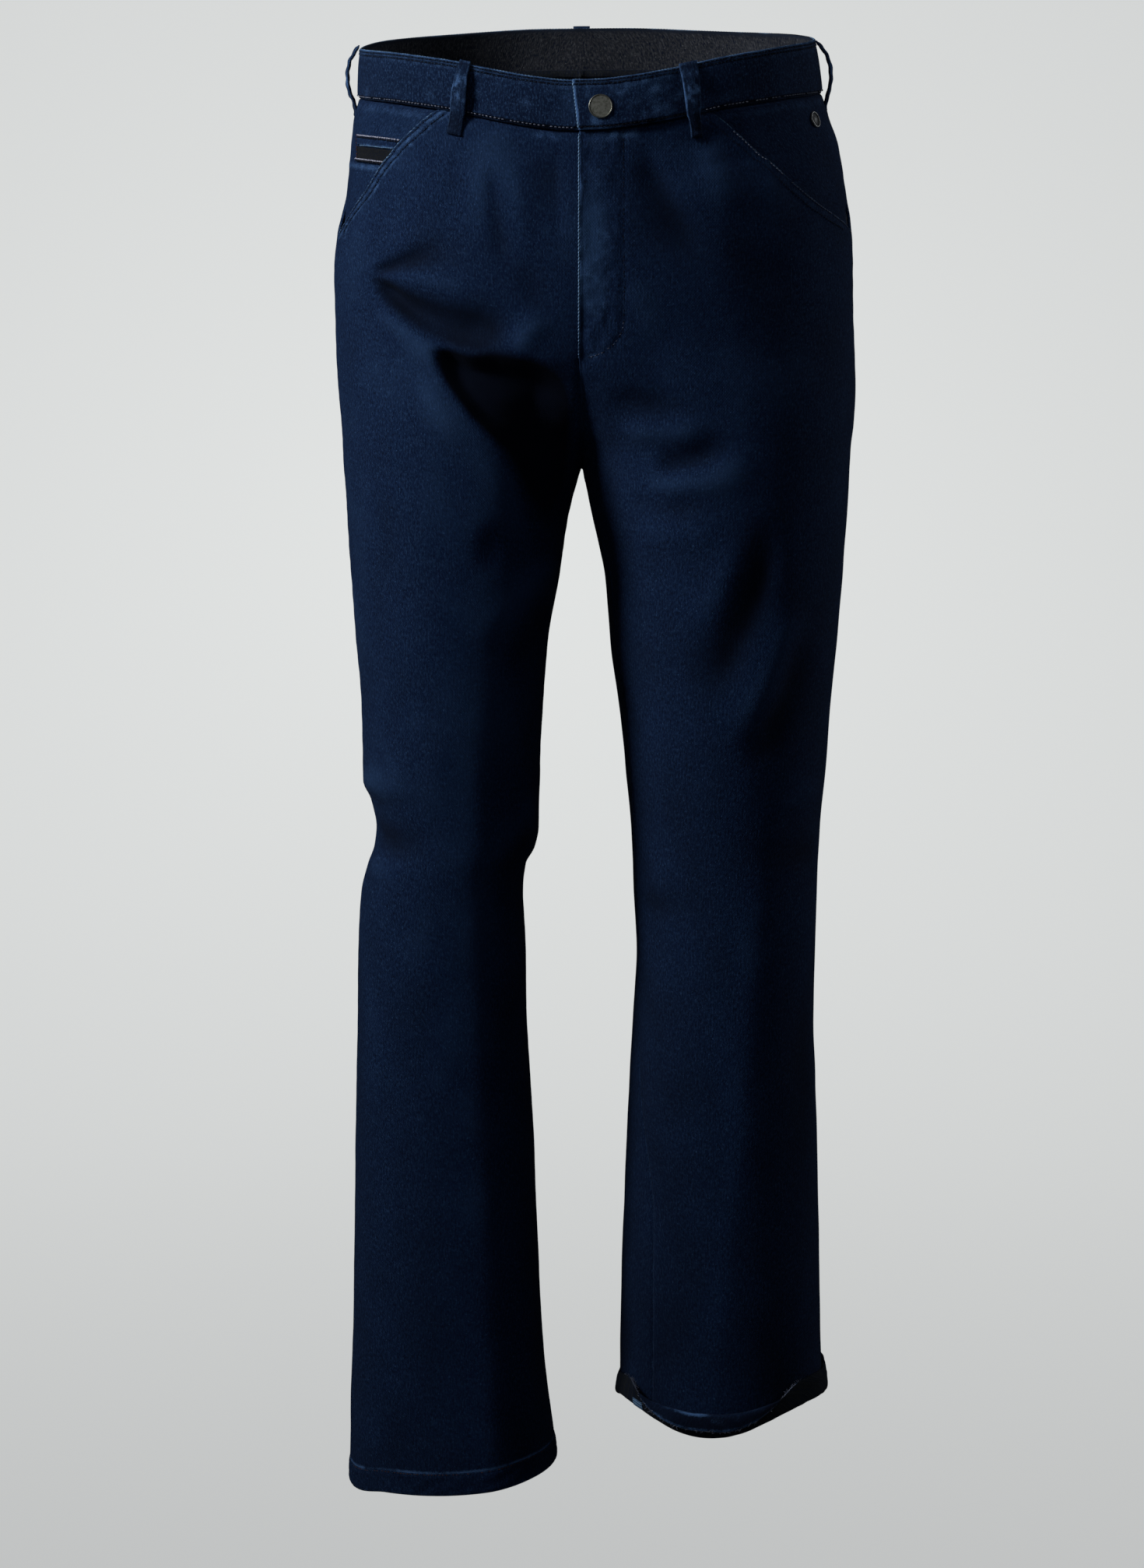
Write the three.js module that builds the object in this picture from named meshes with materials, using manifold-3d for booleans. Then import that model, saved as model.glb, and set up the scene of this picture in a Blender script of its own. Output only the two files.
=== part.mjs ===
// Men's denim trousers in the shape they take on a standing figure, feet apart.
// Millimetres, +Z up, the front faces -Y and the wearer's left is +X.
// Height 0 is the top edge of the waistband over the hips.
import * as THREE from 'three';
import { mergeVertices } from 'three/addons/utils/BufferGeometryUtils.js';
import Module from 'manifold-3d';

const right = -1;
const left = 1;

// Driving dimensions
const clothWall = 1.5;
const bandWall = 3.0;
const bandHeight = 34;
const seamGap = 0.3;
const crotchHeight = -294.5;
const rightHemHeight = -1031;
const leftFoldHeight = -972;
const sectionRoundness = 2.2;
const flyEdge = -2;
const flyUnderlap = 6;
const flyFoot = -214;
const flyLift = 2.2;
const bandUnderlap = 28;
const facingDepth = 2.2;
const facingTuck = 5;
const pocketFoot = -134;
const buttonRadius = 8.5;
const rivetRadius = 5.8;
const loopWidth = 12;
const loopWall = 2.4;

// Reads rows of plain numbers as a table with named columns.
function table(columns, rows) {
  return rows.map((row) => Object.fromEntries(columns.map((name, i) => [name, row[i]])));
}

// Trunk: distance of each outer edge from the centre line, depth of front and back,
// and the depth at which the front and back rise seams run.
const trunk = table(
  ['height', 'outerRight', 'outerLeft', 'front', 'back', 'frontRise', 'backRise'],
  [
    [0, 160, 162.5, 113, 113, 113, 113],
    [-35, 160, 168, 117, 117, 117, 116.5],
    [-70, 163, 180, 121, 122, 121, 121],
    [-100, 168, 185.5, 122.5, 128, 122, 126],
    [-130, 174, 190, 122.5, 133, 121.5, 129.5],
    [-160, 175, 191.5, 121.5, 138, 120, 132],
    [-195, 174.5, 192.5, 119, 141, 116, 132],
    [-215, 174, 193.2, 117.5, 140, 112, 128],
    [-240, 172.5, 194, 115.5, 136, 99, 115],
    [-262, 170.5, 193, 113.5, 131, 76, 91],
    [-280, 169.5, 191, 112, 126, 42, 55],
    [-290, 169.2, 190.6, 111.4, 122.5, 21, 28],
    [crotchHeight, 169, 190.3, 111, 121, 0, 0],
  ],
);

// Legs: outer and inner edge from the centre line, and depth of front and back.
const legColumns = ['height', 'outer', 'inner', 'front', 'back'];
const legs = {
  [right]: table(legColumns, [
    [crotchHeight, 169, 0.2, 111, 121],
    [-310, 168, 5, 110, 117],
    [-330, 167, 10, 108.5, 113],
    [-372, 164, 16, 105, 107],
    [-417, 161, 24, 101, 102],
    [-462, 157.5, 27.5, 96, 97],
    [-507, 155.5, 31, 90, 91],
    [-530, 152, 31, 86, 88],
    [-552, 149, 32.5, 82, 85],
    [-575, 152.5, 37, 79, 83],
    [-600, 158, 42, 77, 82],
    [-645, 161.5, 40.5, 75, 83],
    [-690, 162.5, 40, 73.5, 84],
    [-735, 163.5, 37, 72, 83],
    [-830, 165, 33, 70, 79],
    [-920, 167.5, 29, 69, 75],
    [-970, 169, 25, 69, 74],
    [rightHemHeight, 170.5, 18.5, 70, 74],
  ]),
  [left]: table(legColumns, [
    [crotchHeight, 190.3, 0.2, 111, 121],
    [-310, 189.7, 3.5, 110, 117],
    [-330, 188.8, 7.5, 108.5, 113],
    [-350, 187.4, 12.5, 107, 110],
    [-372, 186, 17, 105, 107],
    [-395, 184, 18.7, 103, 104.5],
    [-417, 182.5, 20, 101, 102],
    [-462, 178, 26.5, 96, 97],
    [-507, 175, 31, 90, 91],
    [-552, 171, 35.5, 83, 86],
    [-597, 169.5, 37.5, 78, 83],
    [-645, 168.7, 39.5, 75, 83],
    [-690, 168, 37.5, 73.5, 84],
    [-735, 169.5, 35, 72, 83],
    [-830, 172.5, 31, 70, 79],
    [-920, 175, 28.5, 69, 75],
    [leftFoldHeight, 176, 27.5, 69, 75],
  ]),
};

// The waist hangs lowest at the centre front. Turn is in degrees round the body:
// -90 centre back, 0 over the hip, 90 centre front.
const waistDip = table(
  ['turn', 'drop'],
  [
    [90, -28.2],
    [85, -27.8],
    [81, -26.6],
    [76, -24.6],
    [72, -22.6],
    [62, -16.9],
    [56, -13.4],
    [46, -9.5],
    [35, -6],
    [17, -2.5],
    [0, 0.5],
    [-10, 3],
    [-30, 9],
    [-60, 15.6],
    [-80, 18.6],
    [-90, 19],
  ],
);

// Where the seams run, in degrees of turn, at each height.
const sideSeam = {
  [right]: table(['height', 'turn'], [[0, 4], [-300, 7], [-550, 12], [-1031, 18]]),
  [left]: table(['height', 'turn'], [[0, 5], [-134, 5], [-300, -4], [-620, -12], [-830, -40], [-972, -42]]),
};
const inseam = {
  [right]: table(['height', 'turn'], [[crotchHeight, 180], [-420, 186], [-1031, 196]]),
  [left]: table(
    ['height', 'turn'],
    [[crotchHeight, 180], [-340, 163], [-480, 157], [-620, 166], [-724, 154], [-830, 134], [-972, 132]],
  ),
};
const pocketMouth = {
  [right]: table(
    ['height', 'turn'],
    [[-34, 52.2], [-49, 45.9], [-62, 40.4], [-77, 35.7], [-92, 30.6], [-107, 23.4], [-127, 13], [pocketFoot, 4.4]],
  ),
  [left]: table(
    ['height', 'turn'],
    [[-34, 59.8], [-53, 53.5], [-70, 48.6], [-85, 44.2], [-104, 35.2], [-115, 26.5], [-126, 14], [pocketFoot, 5.4]],
  ),
};

// The largest folds, as straight soft troughs (negative depth) and ridges.
const folds = table(
  ['face', 'x1', 'z1', 'x2', 'z2', 'depth', 'width'],
  [
    ['front', -97, -214, -22, -216, -5, 16],
    ['front', -18, -225, -58, -330, -4, 15],
    ['front', -64, -197, -20, -194, 3, 14],
    ['front', -146, -160, -98, -134, -3, 9],
    ['front', -142, -166, -84, -190, -3, 9],
    ['front', 16, -240, 75, -255, -4, 13],
    ['front', 33, -264, 86, -274, 2.5, 10],
    ['front', 48, -272, 101, -287, -3, 9],
    ['front', 118, -388, 86, -446, -4.5, 15],
    ['front', 138, -416, 100, -468, 3, 14],
    ['front', -152, -553, -108, -562, -3.5, 14],
    ['front', 168, -560, 120, -574, -2.5, 13],
    ['back', -24, -268, -118, -312, -4, 14],
    ['back', 26, -262, 128, -304, -4.5, 14],
    ['back', -40, -322, -128, -352, 3, 13],
    ['back', -150, -556, -62, -578, -4, 14],
    ['back', 60, -548, 158, -572, -3.5, 14],
    ['back', -60, -604, -140, -622, 3, 13],
  ],
);

// Cross-section of the turned-up hem of the left leg, fold at height 0: once for the
// sides and back, where it stands against the leg, and once for the front, where the
// stitched edge has rolled over and hangs outwards.
const cuffProfile = table(
  ['sideOut', 'sideUp', 'frontOut', 'frontUp'],
  [
    [-0.75, 5.5, -0.75, 5.5],
    [-0.6, 2.2, -0.2, 1.6],
    [1.3, -0.3, 3.5, -1.8],
    [3.2, 1.4, 8.0, -0.2],
    [3.5, 5.5, 12.0, 5.0],
    [3.5, 10, 16.0, 11.5],
    [3.2, 14.5, 20.0, 17.0],
    [2.7, 18, 24.5, 18.4],
    [2.2, 20.5, 27.6, 14.5],
    [1.7, 23, 29.0, 7.4],
  ],
);
const cuffFlopCentre = 101;
const cuffFlopSpread = 58;

// Belt loops: path of the strip from its lower foot to the top of the band.
const loopPaths = {
  flat: table(
    ['out', 'height'],
    [[1.7, -50], [1.8, -43.5], [3.5, -37], [5.1, -29], [5.6, -18], [4.9, -8], [3.5, -1.5], [3.2, 2]],
  ),
  bowed: table(
    ['out', 'height'],
    [[1.7, -47], [2.4, -42.5], [5.8, -37], [8.8, -28], [9.8, -18], [8.4, -8.5], [5.2, -2], [3.4, 2]],
  ),
};

// Smooth curve through a table column; the rows run from the highest key downwards.
function blend(rows, key, at, column, power = 1) {
  const value = (row) => row[column] ** power;
  const last = rows.length - 1;
  if (at >= rows[0][key]) return rows[0][column];
  if (at <= rows[last][key]) return rows[last][column];
  let i = 0;
  while (at < rows[i + 1][key]) i += 1;
  const step = (j) => (value(rows[j + 1]) - value(rows[j])) / (rows[j + 1][key] - rows[j][key]);
  const slope = (j) => {
    if (j === 0) return step(0);
    if (j === last) return step(last - 1);
    const product = step(j - 1) * step(j);
    return product <= 0 ? 0 : (2 * product) / (step(j - 1) + step(j));
  };
  const span = rows[i + 1][key] - rows[i][key];
  const t = (at - rows[i][key]) / span;
  const mixed =
    (2 * t ** 3 - 3 * t * t + 1) * value(rows[i]) +
    (t ** 3 - 2 * t * t + t) * span * slope(i) +
    (3 * t * t - 2 * t ** 3) * value(rows[i + 1]) +
    (t ** 3 - t * t) * span * slope(i + 1);
  return power === 1 ? mixed : Math.max(mixed, 0) ** (1 / power);
}

function smooth(from, to, value) {
  const t = Math.min(1, Math.max(0, (value - from) / (to - from)));
  return t * t * (3 - 2 * t);
}

function radians(degrees) {
  return (degrees * Math.PI) / 180;
}

function degrees(angle) {
  return (angle * 180) / Math.PI;
}

// Half of the cross-section on one side of the body: an oval whose inner part is cut
// away by the centre plane above the crotch and is whole below it.
function sectionAt(side, height) {
  const n = sectionRoundness;
  if (height > crotchHeight) {
    const outer = blend(trunk, 'height', height, side === right ? 'outerRight' : 'outerLeft');
    const front = blend(trunk, 'height', height, 'front');
    const back = blend(trunk, 'height', height, 'back');
    const frontRise = Math.min(1, blend(trunk, 'height', height, 'frontRise', 2) / front);
    const backRise = Math.min(1, blend(trunk, 'height', height, 'backRise', 2) / back);
    const frontCut = Math.max(0, 1 - frontRise ** n) ** (1 / n);
    const backCut = Math.max(0, 1 - backRise ** n) ** (1 / n);
    const frontHalf = outer / (1 + frontCut);
    const backHalf = outer / (1 + backCut);
    return {
      front,
      back,
      frontHalf,
      backHalf,
      frontCentre: frontCut * frontHalf,
      backCentre: backCut * backHalf,
    };
  }
  const rows = legs[side];
  const outer = blend(rows, 'height', height, 'outer');
  const inner = blend(rows, 'height', height, 'inner');
  const half = (outer - inner) / 2;
  const centre = (outer + inner) / 2;
  return {
    front: blend(rows, 'height', height, 'front'),
    back: blend(rows, 'height', height, 'back'),
    frontHalf: half,
    backHalf: half,
    frontCentre: centre,
    backCentre: centre,
  };
}

// Turn, in degrees, at which the section passes a given distance from the centre line.
function turnAt(side, height, distance, face) {
  const section = sectionAt(side, height);
  const n = sectionRoundness;
  const centre = face === 'front' ? section.frontCentre : section.backCentre;
  const half = face === 'front' ? section.frontHalf : section.backHalf;
  const across = (distance - centre) / half;
  const share = Math.min(0.99999, Math.max(0.00001, Math.abs(across)));
  const angle = degrees(Math.atan((share ** -n - 1) ** (1 / n)));
  const turn = across < 0 ? 180 - angle : angle;
  return face === 'front' ? turn : -turn;
}

// How far the cloth is dropped or lifted from its level height.
function heightShift(side, turn, height, x, y) {
  let folded = turn > 90 ? 180 - turn : turn;
  folded = folded < -90 ? -180 - folded : folded;
  const waist = smooth(-240, -60, height) * (blend(waistDip, 'turn', folded, 'drop') + 0.01 * x);
  const hem =
    side === right ? smooth(-900, rightHemHeight, height) * 0.112 * (x + 125) : smooth(-880, leftFoldHeight, height) * 0.1 * y;
  return waist + hem;
}

function ovalPoint(side, turn, height) {
  const n = sectionRoundness;
  const section = sectionAt(side, height);
  const along = Math.cos(radians(turn));
  const deep = Math.sin(radians(turn));
  const reach = (Math.abs(along) ** n + Math.abs(deep) ** n) ** (-1 / n);
  const isFront = deep >= 0;
  const centre = isFront ? section.frontCentre : section.backCentre;
  const half = isFront ? section.frontHalf : section.backHalf;
  const x = side * (centre + half * along * reach);
  const y = -(isFront ? section.front : section.back) * deep * reach;
  return new THREE.Vector3(x, y, height + heightShift(side, turn, height, x, y));
}

// A point on the skin. Cloth that passes the centre line follows the other side.
function skinPoint(side, turn, height) {
  const point = ovalPoint(side, turn, height);
  if (side * point.x >= 0) return point;
  const face = Math.sin(radians(turn)) >= 0 ? 'front' : 'back';
  return ovalPoint(-side, turnAt(-side, height, -side * point.x, face), height);
}

function skinNormal(side, turn, height) {
  const around = skinPoint(side, turn + 1, height).sub(skinPoint(side, turn - 1, height));
  const down = skinPoint(side, turn, height - 1.5).sub(skinPoint(side, turn, height + 1.5));
  const normal = around.cross(down).normalize();
  return side === left ? normal : normal.negate();
}

// Height of the soft folds at one point of the skin.
function foldDepth(point) {
  let depth = 0;
  for (const fold of folds) {
    const fade = fold.face === 'front' ? smooth(15, 45, -point.y) : smooth(15, 45, point.y);
    if (fade === 0) continue;
    const runX = fold.x2 - fold.x1;
    const runZ = fold.z2 - fold.z1;
    const length = Math.hypot(runX, runZ);
    const along = ((point.x - fold.x1) * runX + (point.z - fold.z1) * runZ) / length;
    const across = ((point.x - fold.x1) * runZ - (point.z - fold.z1) * runX) / length;
    const taper = smooth(-0.2 * length, 0.25 * length, along) * smooth(1.2 * length, 0.75 * length, along);
    depth += fade * taper * fold.depth * Math.exp(-((across / fold.width) ** 2));
  }
  return depth;
}

function clothPoint(side, turn, height, out) {
  const point = skinPoint(side, turn, height);
  const lift = out + foldDepth(point);
  return point.addScaledVector(skinNormal(side, turn, height), lift);
}

function denim(color = 0x17233c) {
  return new THREE.MeshStandardMaterial({ color, roughness: 0.88, metalness: 0 });
}

function metal(color) {
  return new THREE.MeshStandardMaterial({ color, roughness: 0.42, metalness: 1 });
}

// Turns a list of corner points and triangles into a closed, outward facing mesh.
function closedMesh(name, points, triangles, material) {
  let volume = 0;
  for (const [a, b, c] of triangles) {
    volume += points[a].dot(points[b].clone().cross(points[c]));
  }
  const ordered = volume < 0 ? triangles.map(([a, b, c]) => [a, c, b]) : triangles;
  const geometry = new THREE.BufferGeometry();
  const position = new Float32Array(points.flatMap((p) => [p.x, p.y, p.z]));
  geometry.setAttribute('position', new THREE.BufferAttribute(position, 3));
  geometry.setIndex(ordered.flat());
  geometry.computeVertexNormals();
  return named(name, geometry, material);
}

function named(name, geometry, material) {
  const mesh = new THREE.Mesh(geometry, material);
  mesh.name = name;
  return mesh;
}

// Solid between two matching grids of points. A looped sheet closes on itself round
// its columns; an open one gets an edge on all four sides.
function sheetSolid(name, outside, inside, looped = false, material = denim()) {
  const rows = outside.length;
  const columns = outside[0].length;
  const points = [...outside.flat(), ...inside.flat()];
  const half = rows * columns;
  const outer = (r, c) => r * columns + (c % columns);
  const inner = (r, c) => half + outer(r, c);
  const triangles = [];
  const quad = (a, b, c, d) => triangles.push([a, b, c], [a, c, d]);
  const spans = looped ? columns : columns - 1;
  for (let r = 0; r < rows - 1; r += 1) {
    for (let c = 0; c < spans; c += 1) {
      quad(outer(r, c), outer(r + 1, c), outer(r + 1, c + 1), outer(r, c + 1));
      quad(inner(r, c), inner(r, c + 1), inner(r + 1, c + 1), inner(r + 1, c));
    }
  }
  for (let c = 0; c < spans; c += 1) {
    quad(outer(0, c), outer(0, c + 1), inner(0, c + 1), inner(0, c));
    quad(outer(rows - 1, c), inner(rows - 1, c), inner(rows - 1, c + 1), outer(rows - 1, c + 1));
  }
  if (!looped) {
    const end = columns - 1;
    for (let r = 0; r < rows - 1; r += 1) {
      quad(outer(r, 0), inner(r, 0), inner(r + 1, 0), outer(r + 1, 0));
      quad(outer(r, end), outer(r + 1, end), inner(r + 1, end), inner(r, end));
    }
  }
  return closedMesh(name, points, triangles, material);
}

// Turn of one column of a panel. The columns sit closer together near both edges, and
// only those beside the inner edge follow its sharp bend at the crotch.
function columnTurn(share, height, startTurn, endTurn) {
  const start = startTurn(height);
  const end = endTurn(height);
  const eased = share - (0.6 * Math.sin(2 * Math.PI * share)) / (2 * Math.PI);
  const nearby = [-70, -35, 0, 35, 70].map((step) => endTurn(height + step));
  const settled = nearby.reduce((sum, turn) => sum + turn, 0) / nearby.length;
  return start + (settled - start) * eased + (end - settled) * eased ** 5;
}

// A cloth panel of one side: at every height it runs between two turns.
function panel(
  name,
  side,
  heights,
  startTurn,
  endTurn,
  spans,
  lift = () => 0,
  wall = clothWall,
  material = denim(),
) {
  const grid = (depth) =>
    heights.map((height) =>
      Array.from({ length: spans + 1 }, (_, i) => {
        const turn = columnTurn(i / spans, height, startTurn, endTurn);
        return clothPoint(side, turn, height, lift(height, turn) - depth);
      }),
    );
  return sheetSolid(name, grid(0), grid(wall), false, material);
}

function degreesFor(side, height, length) {
  const section = sectionAt(side, height);
  return degrees(length / section.frontHalf);
}

const panelHeights = [
  -34.4, -50, -66, -82, -98, -112, -120, -126, -134, -158, -182, -198, -214, -238, -258, -274, -285,
  crotchHeight, -305, -322, -345, -380, -420, -462, -505, -530, -552, -575, -602, -640, -700, -780,
  -870, -950,
];

function heightsFor(side) {
  return [...panelHeights, side === right ? rightHemHeight : leftFoldHeight + 6];
}

function sideSeamTurn(side, height) {
  return blend(sideSeam[side], 'height', height, 'turn');
}

function inseamTurn(side, height) {
  return blend(inseam[side], 'height', height, 'turn');
}

function pocketTurn(side, height) {
  return blend(pocketMouth[side], 'height', height, 'turn');
}

function frontOuterTurn(side, height) {
  if (height > pocketFoot) return pocketTurn(side, height);
  return sideSeamTurn(side, height) + degreesFor(side, height, seamGap / 2);
}

// Distance of the front panel's inner edge from the centre line. The wearer's left
// laps over the right down to the foot of the fly.
function frontEdgeDistance(side, height) {
  const lapped = smooth(-240, flyFoot, height);
  if (side === left) return seamGap / 2 + (flyEdge - seamGap / 2) * lapped;
  const meeting = seamGap / 2 + (seamGap / 2 - flyEdge) * lapped;
  const underlap = smooth(flyFoot, -199, height) * (flyUnderlap - flyEdge);
  return meeting - underlap;
}

function frontInnerTurn(side, height) {
  if (height > crotchHeight) return turnAt(side, height, frontEdgeDistance(side, height), 'front');
  return inseamTurn(side, height) - degreesFor(side, height, seamGap / 2);
}

function backInnerTurn(side, height) {
  if (height > crotchHeight) return turnAt(side, height, seamGap / 2, 'back');
  return inseamTurn(side, height) - 360 + degreesFor(side, height, seamGap / 2);
}

function frontPanel(name, side) {
  const lift = (height, turn) => {
    if (side === right || height < -250) return 0;
    const fromFly = skinPoint(side, turn, height).x - flyEdge;
    return flyLift * smooth(-245, flyFoot, height) * smooth(52, 12, fromFly);
  };
  const outer = (height) => frontOuterTurn(side, height);
  const inner = (height) => frontInnerTurn(side, height);
  return panel(name, side, heightsFor(side), outer, inner, 12, lift);
}

function backPanel(name, side) {
  const outer = (height) => sideSeamTurn(side, height) - degreesFor(side, height, seamGap / 2);
  const inner = (height) => backInnerTurn(side, height);
  return panel(name, side, heightsFor(side), outer, inner, 8);
}

// The facing lies under the pocket mouth and comes up flush at the side seam.
function facingLift(side, height, turn) {
  const mouth = pocketTurn(side, height);
  const seam = sideSeamTurn(side, height);
  const millimetre = degreesFor(side, height, 1);
  const slant = (pocketTurn(side, height + 2) - pocketTurn(side, height - 2)) / (4 * millimetre);
  const square = 1 / Math.hypot(1, slant);
  const fromMouth = (square * (mouth - turn)) / millimetre;
  const width = (square * (mouth - seam)) / millimetre;
  const risen = smooth(2, Math.max(0.9 * width, 14), fromMouth);
  return -facingDepth * (1 - risen * smooth(pocketFoot + 4, pocketFoot + 26, height));
}

function pocketFacing(name, side) {
  const heights = [-34.4, -50, -66, -82, -98, -112, -120, -126, -132];
  const seam = (height) => sideSeamTurn(side, height) + degreesFor(side, height, seamGap / 2);
  const tucked = (height) => pocketTurn(side, height) + facingTuck;
  const lift = (height, turn) => facingLift(side, height, turn);
  return panel(name, side, heights, seam, tucked, 8, lift);
}

// A small strip laid on the right pocket facing, from near the side seam to the mouth.
function coinPocketStrip(name, top, bottom, wall, color) {
  const heights = [top, (top + bottom) / 2, bottom];
  const outer = (height) => turnAt(right, height, 156.2, 'front');
  const inner = (height) => pocketTurn(right, height) - degreesFor(right, height, 0.7);
  const lift = (height, turn) => facingLift(right, height, turn) + wall + 0.55;
  return panel(name, right, heights, outer, inner, 4, lift, wall, denim(color));
}

// Stations along the waistband, from the end that lies under to the end that laps over.
function waistbandStations() {
  const start = turnAt(left, -17, bandUnderlap, 'front');
  const end = turnAt(left, -17, flyEdge - 1, 'front');
  const stations = [];
  const run = (side, from, to, spans, lift) => {
    for (let i = 0; i < spans; i += 1) {
      const turn = from + ((to - from) * i) / spans;
      stations.push({ side, turn, lift: lift(turn) });
    }
  };
  const flat = () => 0;
  const lapped = (turn) => (bandWall + seamGap) * smooth(62, 79, turn);
  run(left, start, 90, 2, flat);
  run(right, 90, -90, 34, flat);
  run(left, -90, 60, 28, flat);
  run(left, 60, end, 8, lapped);
  stations.push({ side: left, turn: end, lift: bandWall + seamGap });
  return stations;
}

function waistband(wasm) {
  const proud = bandWall - clothWall;
  const heights = [0, -bandHeight];
  const stations = waistbandStations();
  const grid = (depth) =>
    heights.map((height) =>
      stations.map(({ side, turn, lift }) => {
        const distance = turn > 85 ? side * skinPoint(side, turn, -17).x : null;
        const square = distance === null ? turn : turnAt(side, height, distance, 'front');
        return clothPoint(side, square, height, proud + lift - depth);
      }),
    );
  const strip = sheetSolid('waistband', grid(0), grid(bandWall));
  return cutButtonhole(wasm, strip);
}

// Place on the cloth, with the Z axis pointing straight out of it.
function clothFrame(side, turn, height, out) {
  const outward = skinNormal(side, turn, height);
  return {
    position: clothPoint(side, turn, height, out),
    quaternion: new THREE.Quaternion().setFromUnitVectors(new THREE.Vector3(0, 1, 0), outward),
  };
}

function buttonFrame() {
  return clothFrame(left, turnAt(left, -19, 12, 'front'), -19, 0);
}

// Corner points and triangles of a geometry as a solid that can be cut.
function solidFrom(wasm, geometry) {
  const bare = geometry.clone();
  bare.deleteAttribute('normal');
  bare.deleteAttribute('uv');
  const merged = mergeVertices(bare, 0.0001);
  return new wasm.Manifold(
    new wasm.Mesh({
      numProp: 3,
      vertProperties: new Float32Array(merged.attributes.position.array),
      triVerts: new Uint32Array(merged.index.array),
    }),
  );
}

// Opens the round end of the buttonhole through the overlapping end of the band.
function cutButtonhole(wasm, strip) {
  const { position, quaternion } = buttonFrame();
  const drill = new THREE.CylinderGeometry(3.2, 3.2, 5, 16);
  drill.translate(0, 4.2, 0);
  drill.applyQuaternion(quaternion);
  drill.translate(position.x, position.y, position.z);
  const cut = solidFrom(wasm, strip.geometry).subtract(solidFrom(wasm, drill)).getMesh();
  const geometry = new THREE.BufferGeometry();
  geometry.setAttribute('position', new THREE.BufferAttribute(cut.vertProperties, 3));
  geometry.setIndex(Array.from(cut.triVerts));
  geometry.computeVertexNormals();
  return named(strip.name, geometry, strip.material);
}

// A turned metal piece set square to the cloth. The profile rows are the distance
// from the axis and the height above its seat.
function turnedPiece(name, profile, sectors, { position, quaternion }, material) {
  const points = profile.map(([radius, up]) => new THREE.Vector2(radius, up));
  const piece = named(name, new THREE.LatheGeometry(points, sectors), material);
  piece.position.copy(position);
  piece.quaternion.copy(quaternion);
  return piece;
}

function button() {
  const profile = [
    [0, 1.9],
    [2.3, 1.9],
    [2.3, 5.2],
    [7.6, 5.2],
    [buttonRadius, 5.9],
    [buttonRadius, 7.2],
    [7.7, 7.9],
    [6.9, 7.3],
    [0, 7.1],
  ];
  return turnedPiece('button', profile, 20, buttonFrame(), metal(0x7d8186));
}

function pocketRivet() {
  const height = -50;
  const turn = 24;
  const profile = [
    [0, 0],
    [rivetRadius, 0],
    [rivetRadius, 0.9],
    [rivetRadius - 1, 1.5],
    [2.4, 1.1],
    [0, 1.6],
  ];
  const frame = clothFrame(left, turn, height, facingLift(left, height, turn) + seamGap);
  return turnedPiece('pocket_rivet', profile, 16, frame, metal(0x6f7276));
}

// A strip of folded cloth that stands off the waistband between its two feet. The
// placing gives the turn for a height and a distance across the strip.
function beltLoop(name, side, placing, path) {
  const shifted = (direction) =>
    path.map((spot, i) => {
      const before = path[Math.max(0, i - 1)];
      const after = path[Math.min(path.length - 1, i + 1)];
      const runOut = after.out - before.out;
      const runUp = after.height - before.height;
      const length = Math.hypot(runOut, runUp);
      const out = spot.out + (direction * (loopWall / 2) * runUp) / length;
      const height = spot.height - (direction * (loopWall / 2) * runOut) / length;
      return [-1, 0, 1].map((edge) => {
        const turn = placing(height, (edge * loopWidth) / 2);
        return clothPoint(side, turn, height, out);
      });
    });
  return sheetSolid(name, shifted(1), shifted(-1));
}

// Belt loops keep one turn all the way down, except at the centre back seam.
function loopAt(side, turn) {
  const degree = skinPoint(side, turn - 0.5, -20).distanceTo(skinPoint(side, turn + 0.5, -20));
  return (height, across) => turn + across / degree;
}

function loopOnBackSeam(height, across) {
  return turnAt(right, height, across, 'back');
}

// The turned-up hem: one closed ring swept round the left leg.
function turnedUpHem() {
  const sectors = 36;
  const startHeight = leftFoldHeight;
  const ring = (direction) =>
    cuffProfile.map((_, i) =>
      Array.from({ length: sectors }, (_unused, s) => {
        const turn = (360 * s) / sectors;
        const away = Math.abs(((turn - cuffFlopCentre + 540) % 360) - 180);
        const flop = smooth(cuffFlopSpread, 8, away);
        const spot = (k) => {
          const row = cuffProfile[Math.min(cuffProfile.length - 1, Math.max(0, k))];
          return {
            out: row.sideOut + (row.frontOut - row.sideOut) * flop,
            up: row.sideUp + (row.frontUp - row.sideUp) * flop,
          };
        };
        const before = spot(i - 1);
        const after = spot(i + 1);
        const runOut = after.out - before.out;
        const runUp = after.up - before.up;
        const length = Math.hypot(runOut, runUp);
        const out = spot(i).out - (direction * (clothWall / 2) * runUp) / length;
        const up = spot(i).up + (direction * (clothWall / 2) * runOut) / length;
        const base = skinPoint(left, turn, startHeight);
        const outward = skinNormal(left, turn, startHeight).setZ(0).normalize();
        return base.addScaledVector(outward, out).add(new THREE.Vector3(0, 0, up));
      }),
    );
  return sheetSolid('cuff_left', ring(1), ring(-1), true, denim(0x3c3f46));
}

const wasm = await Module();
wasm.setup();

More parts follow.
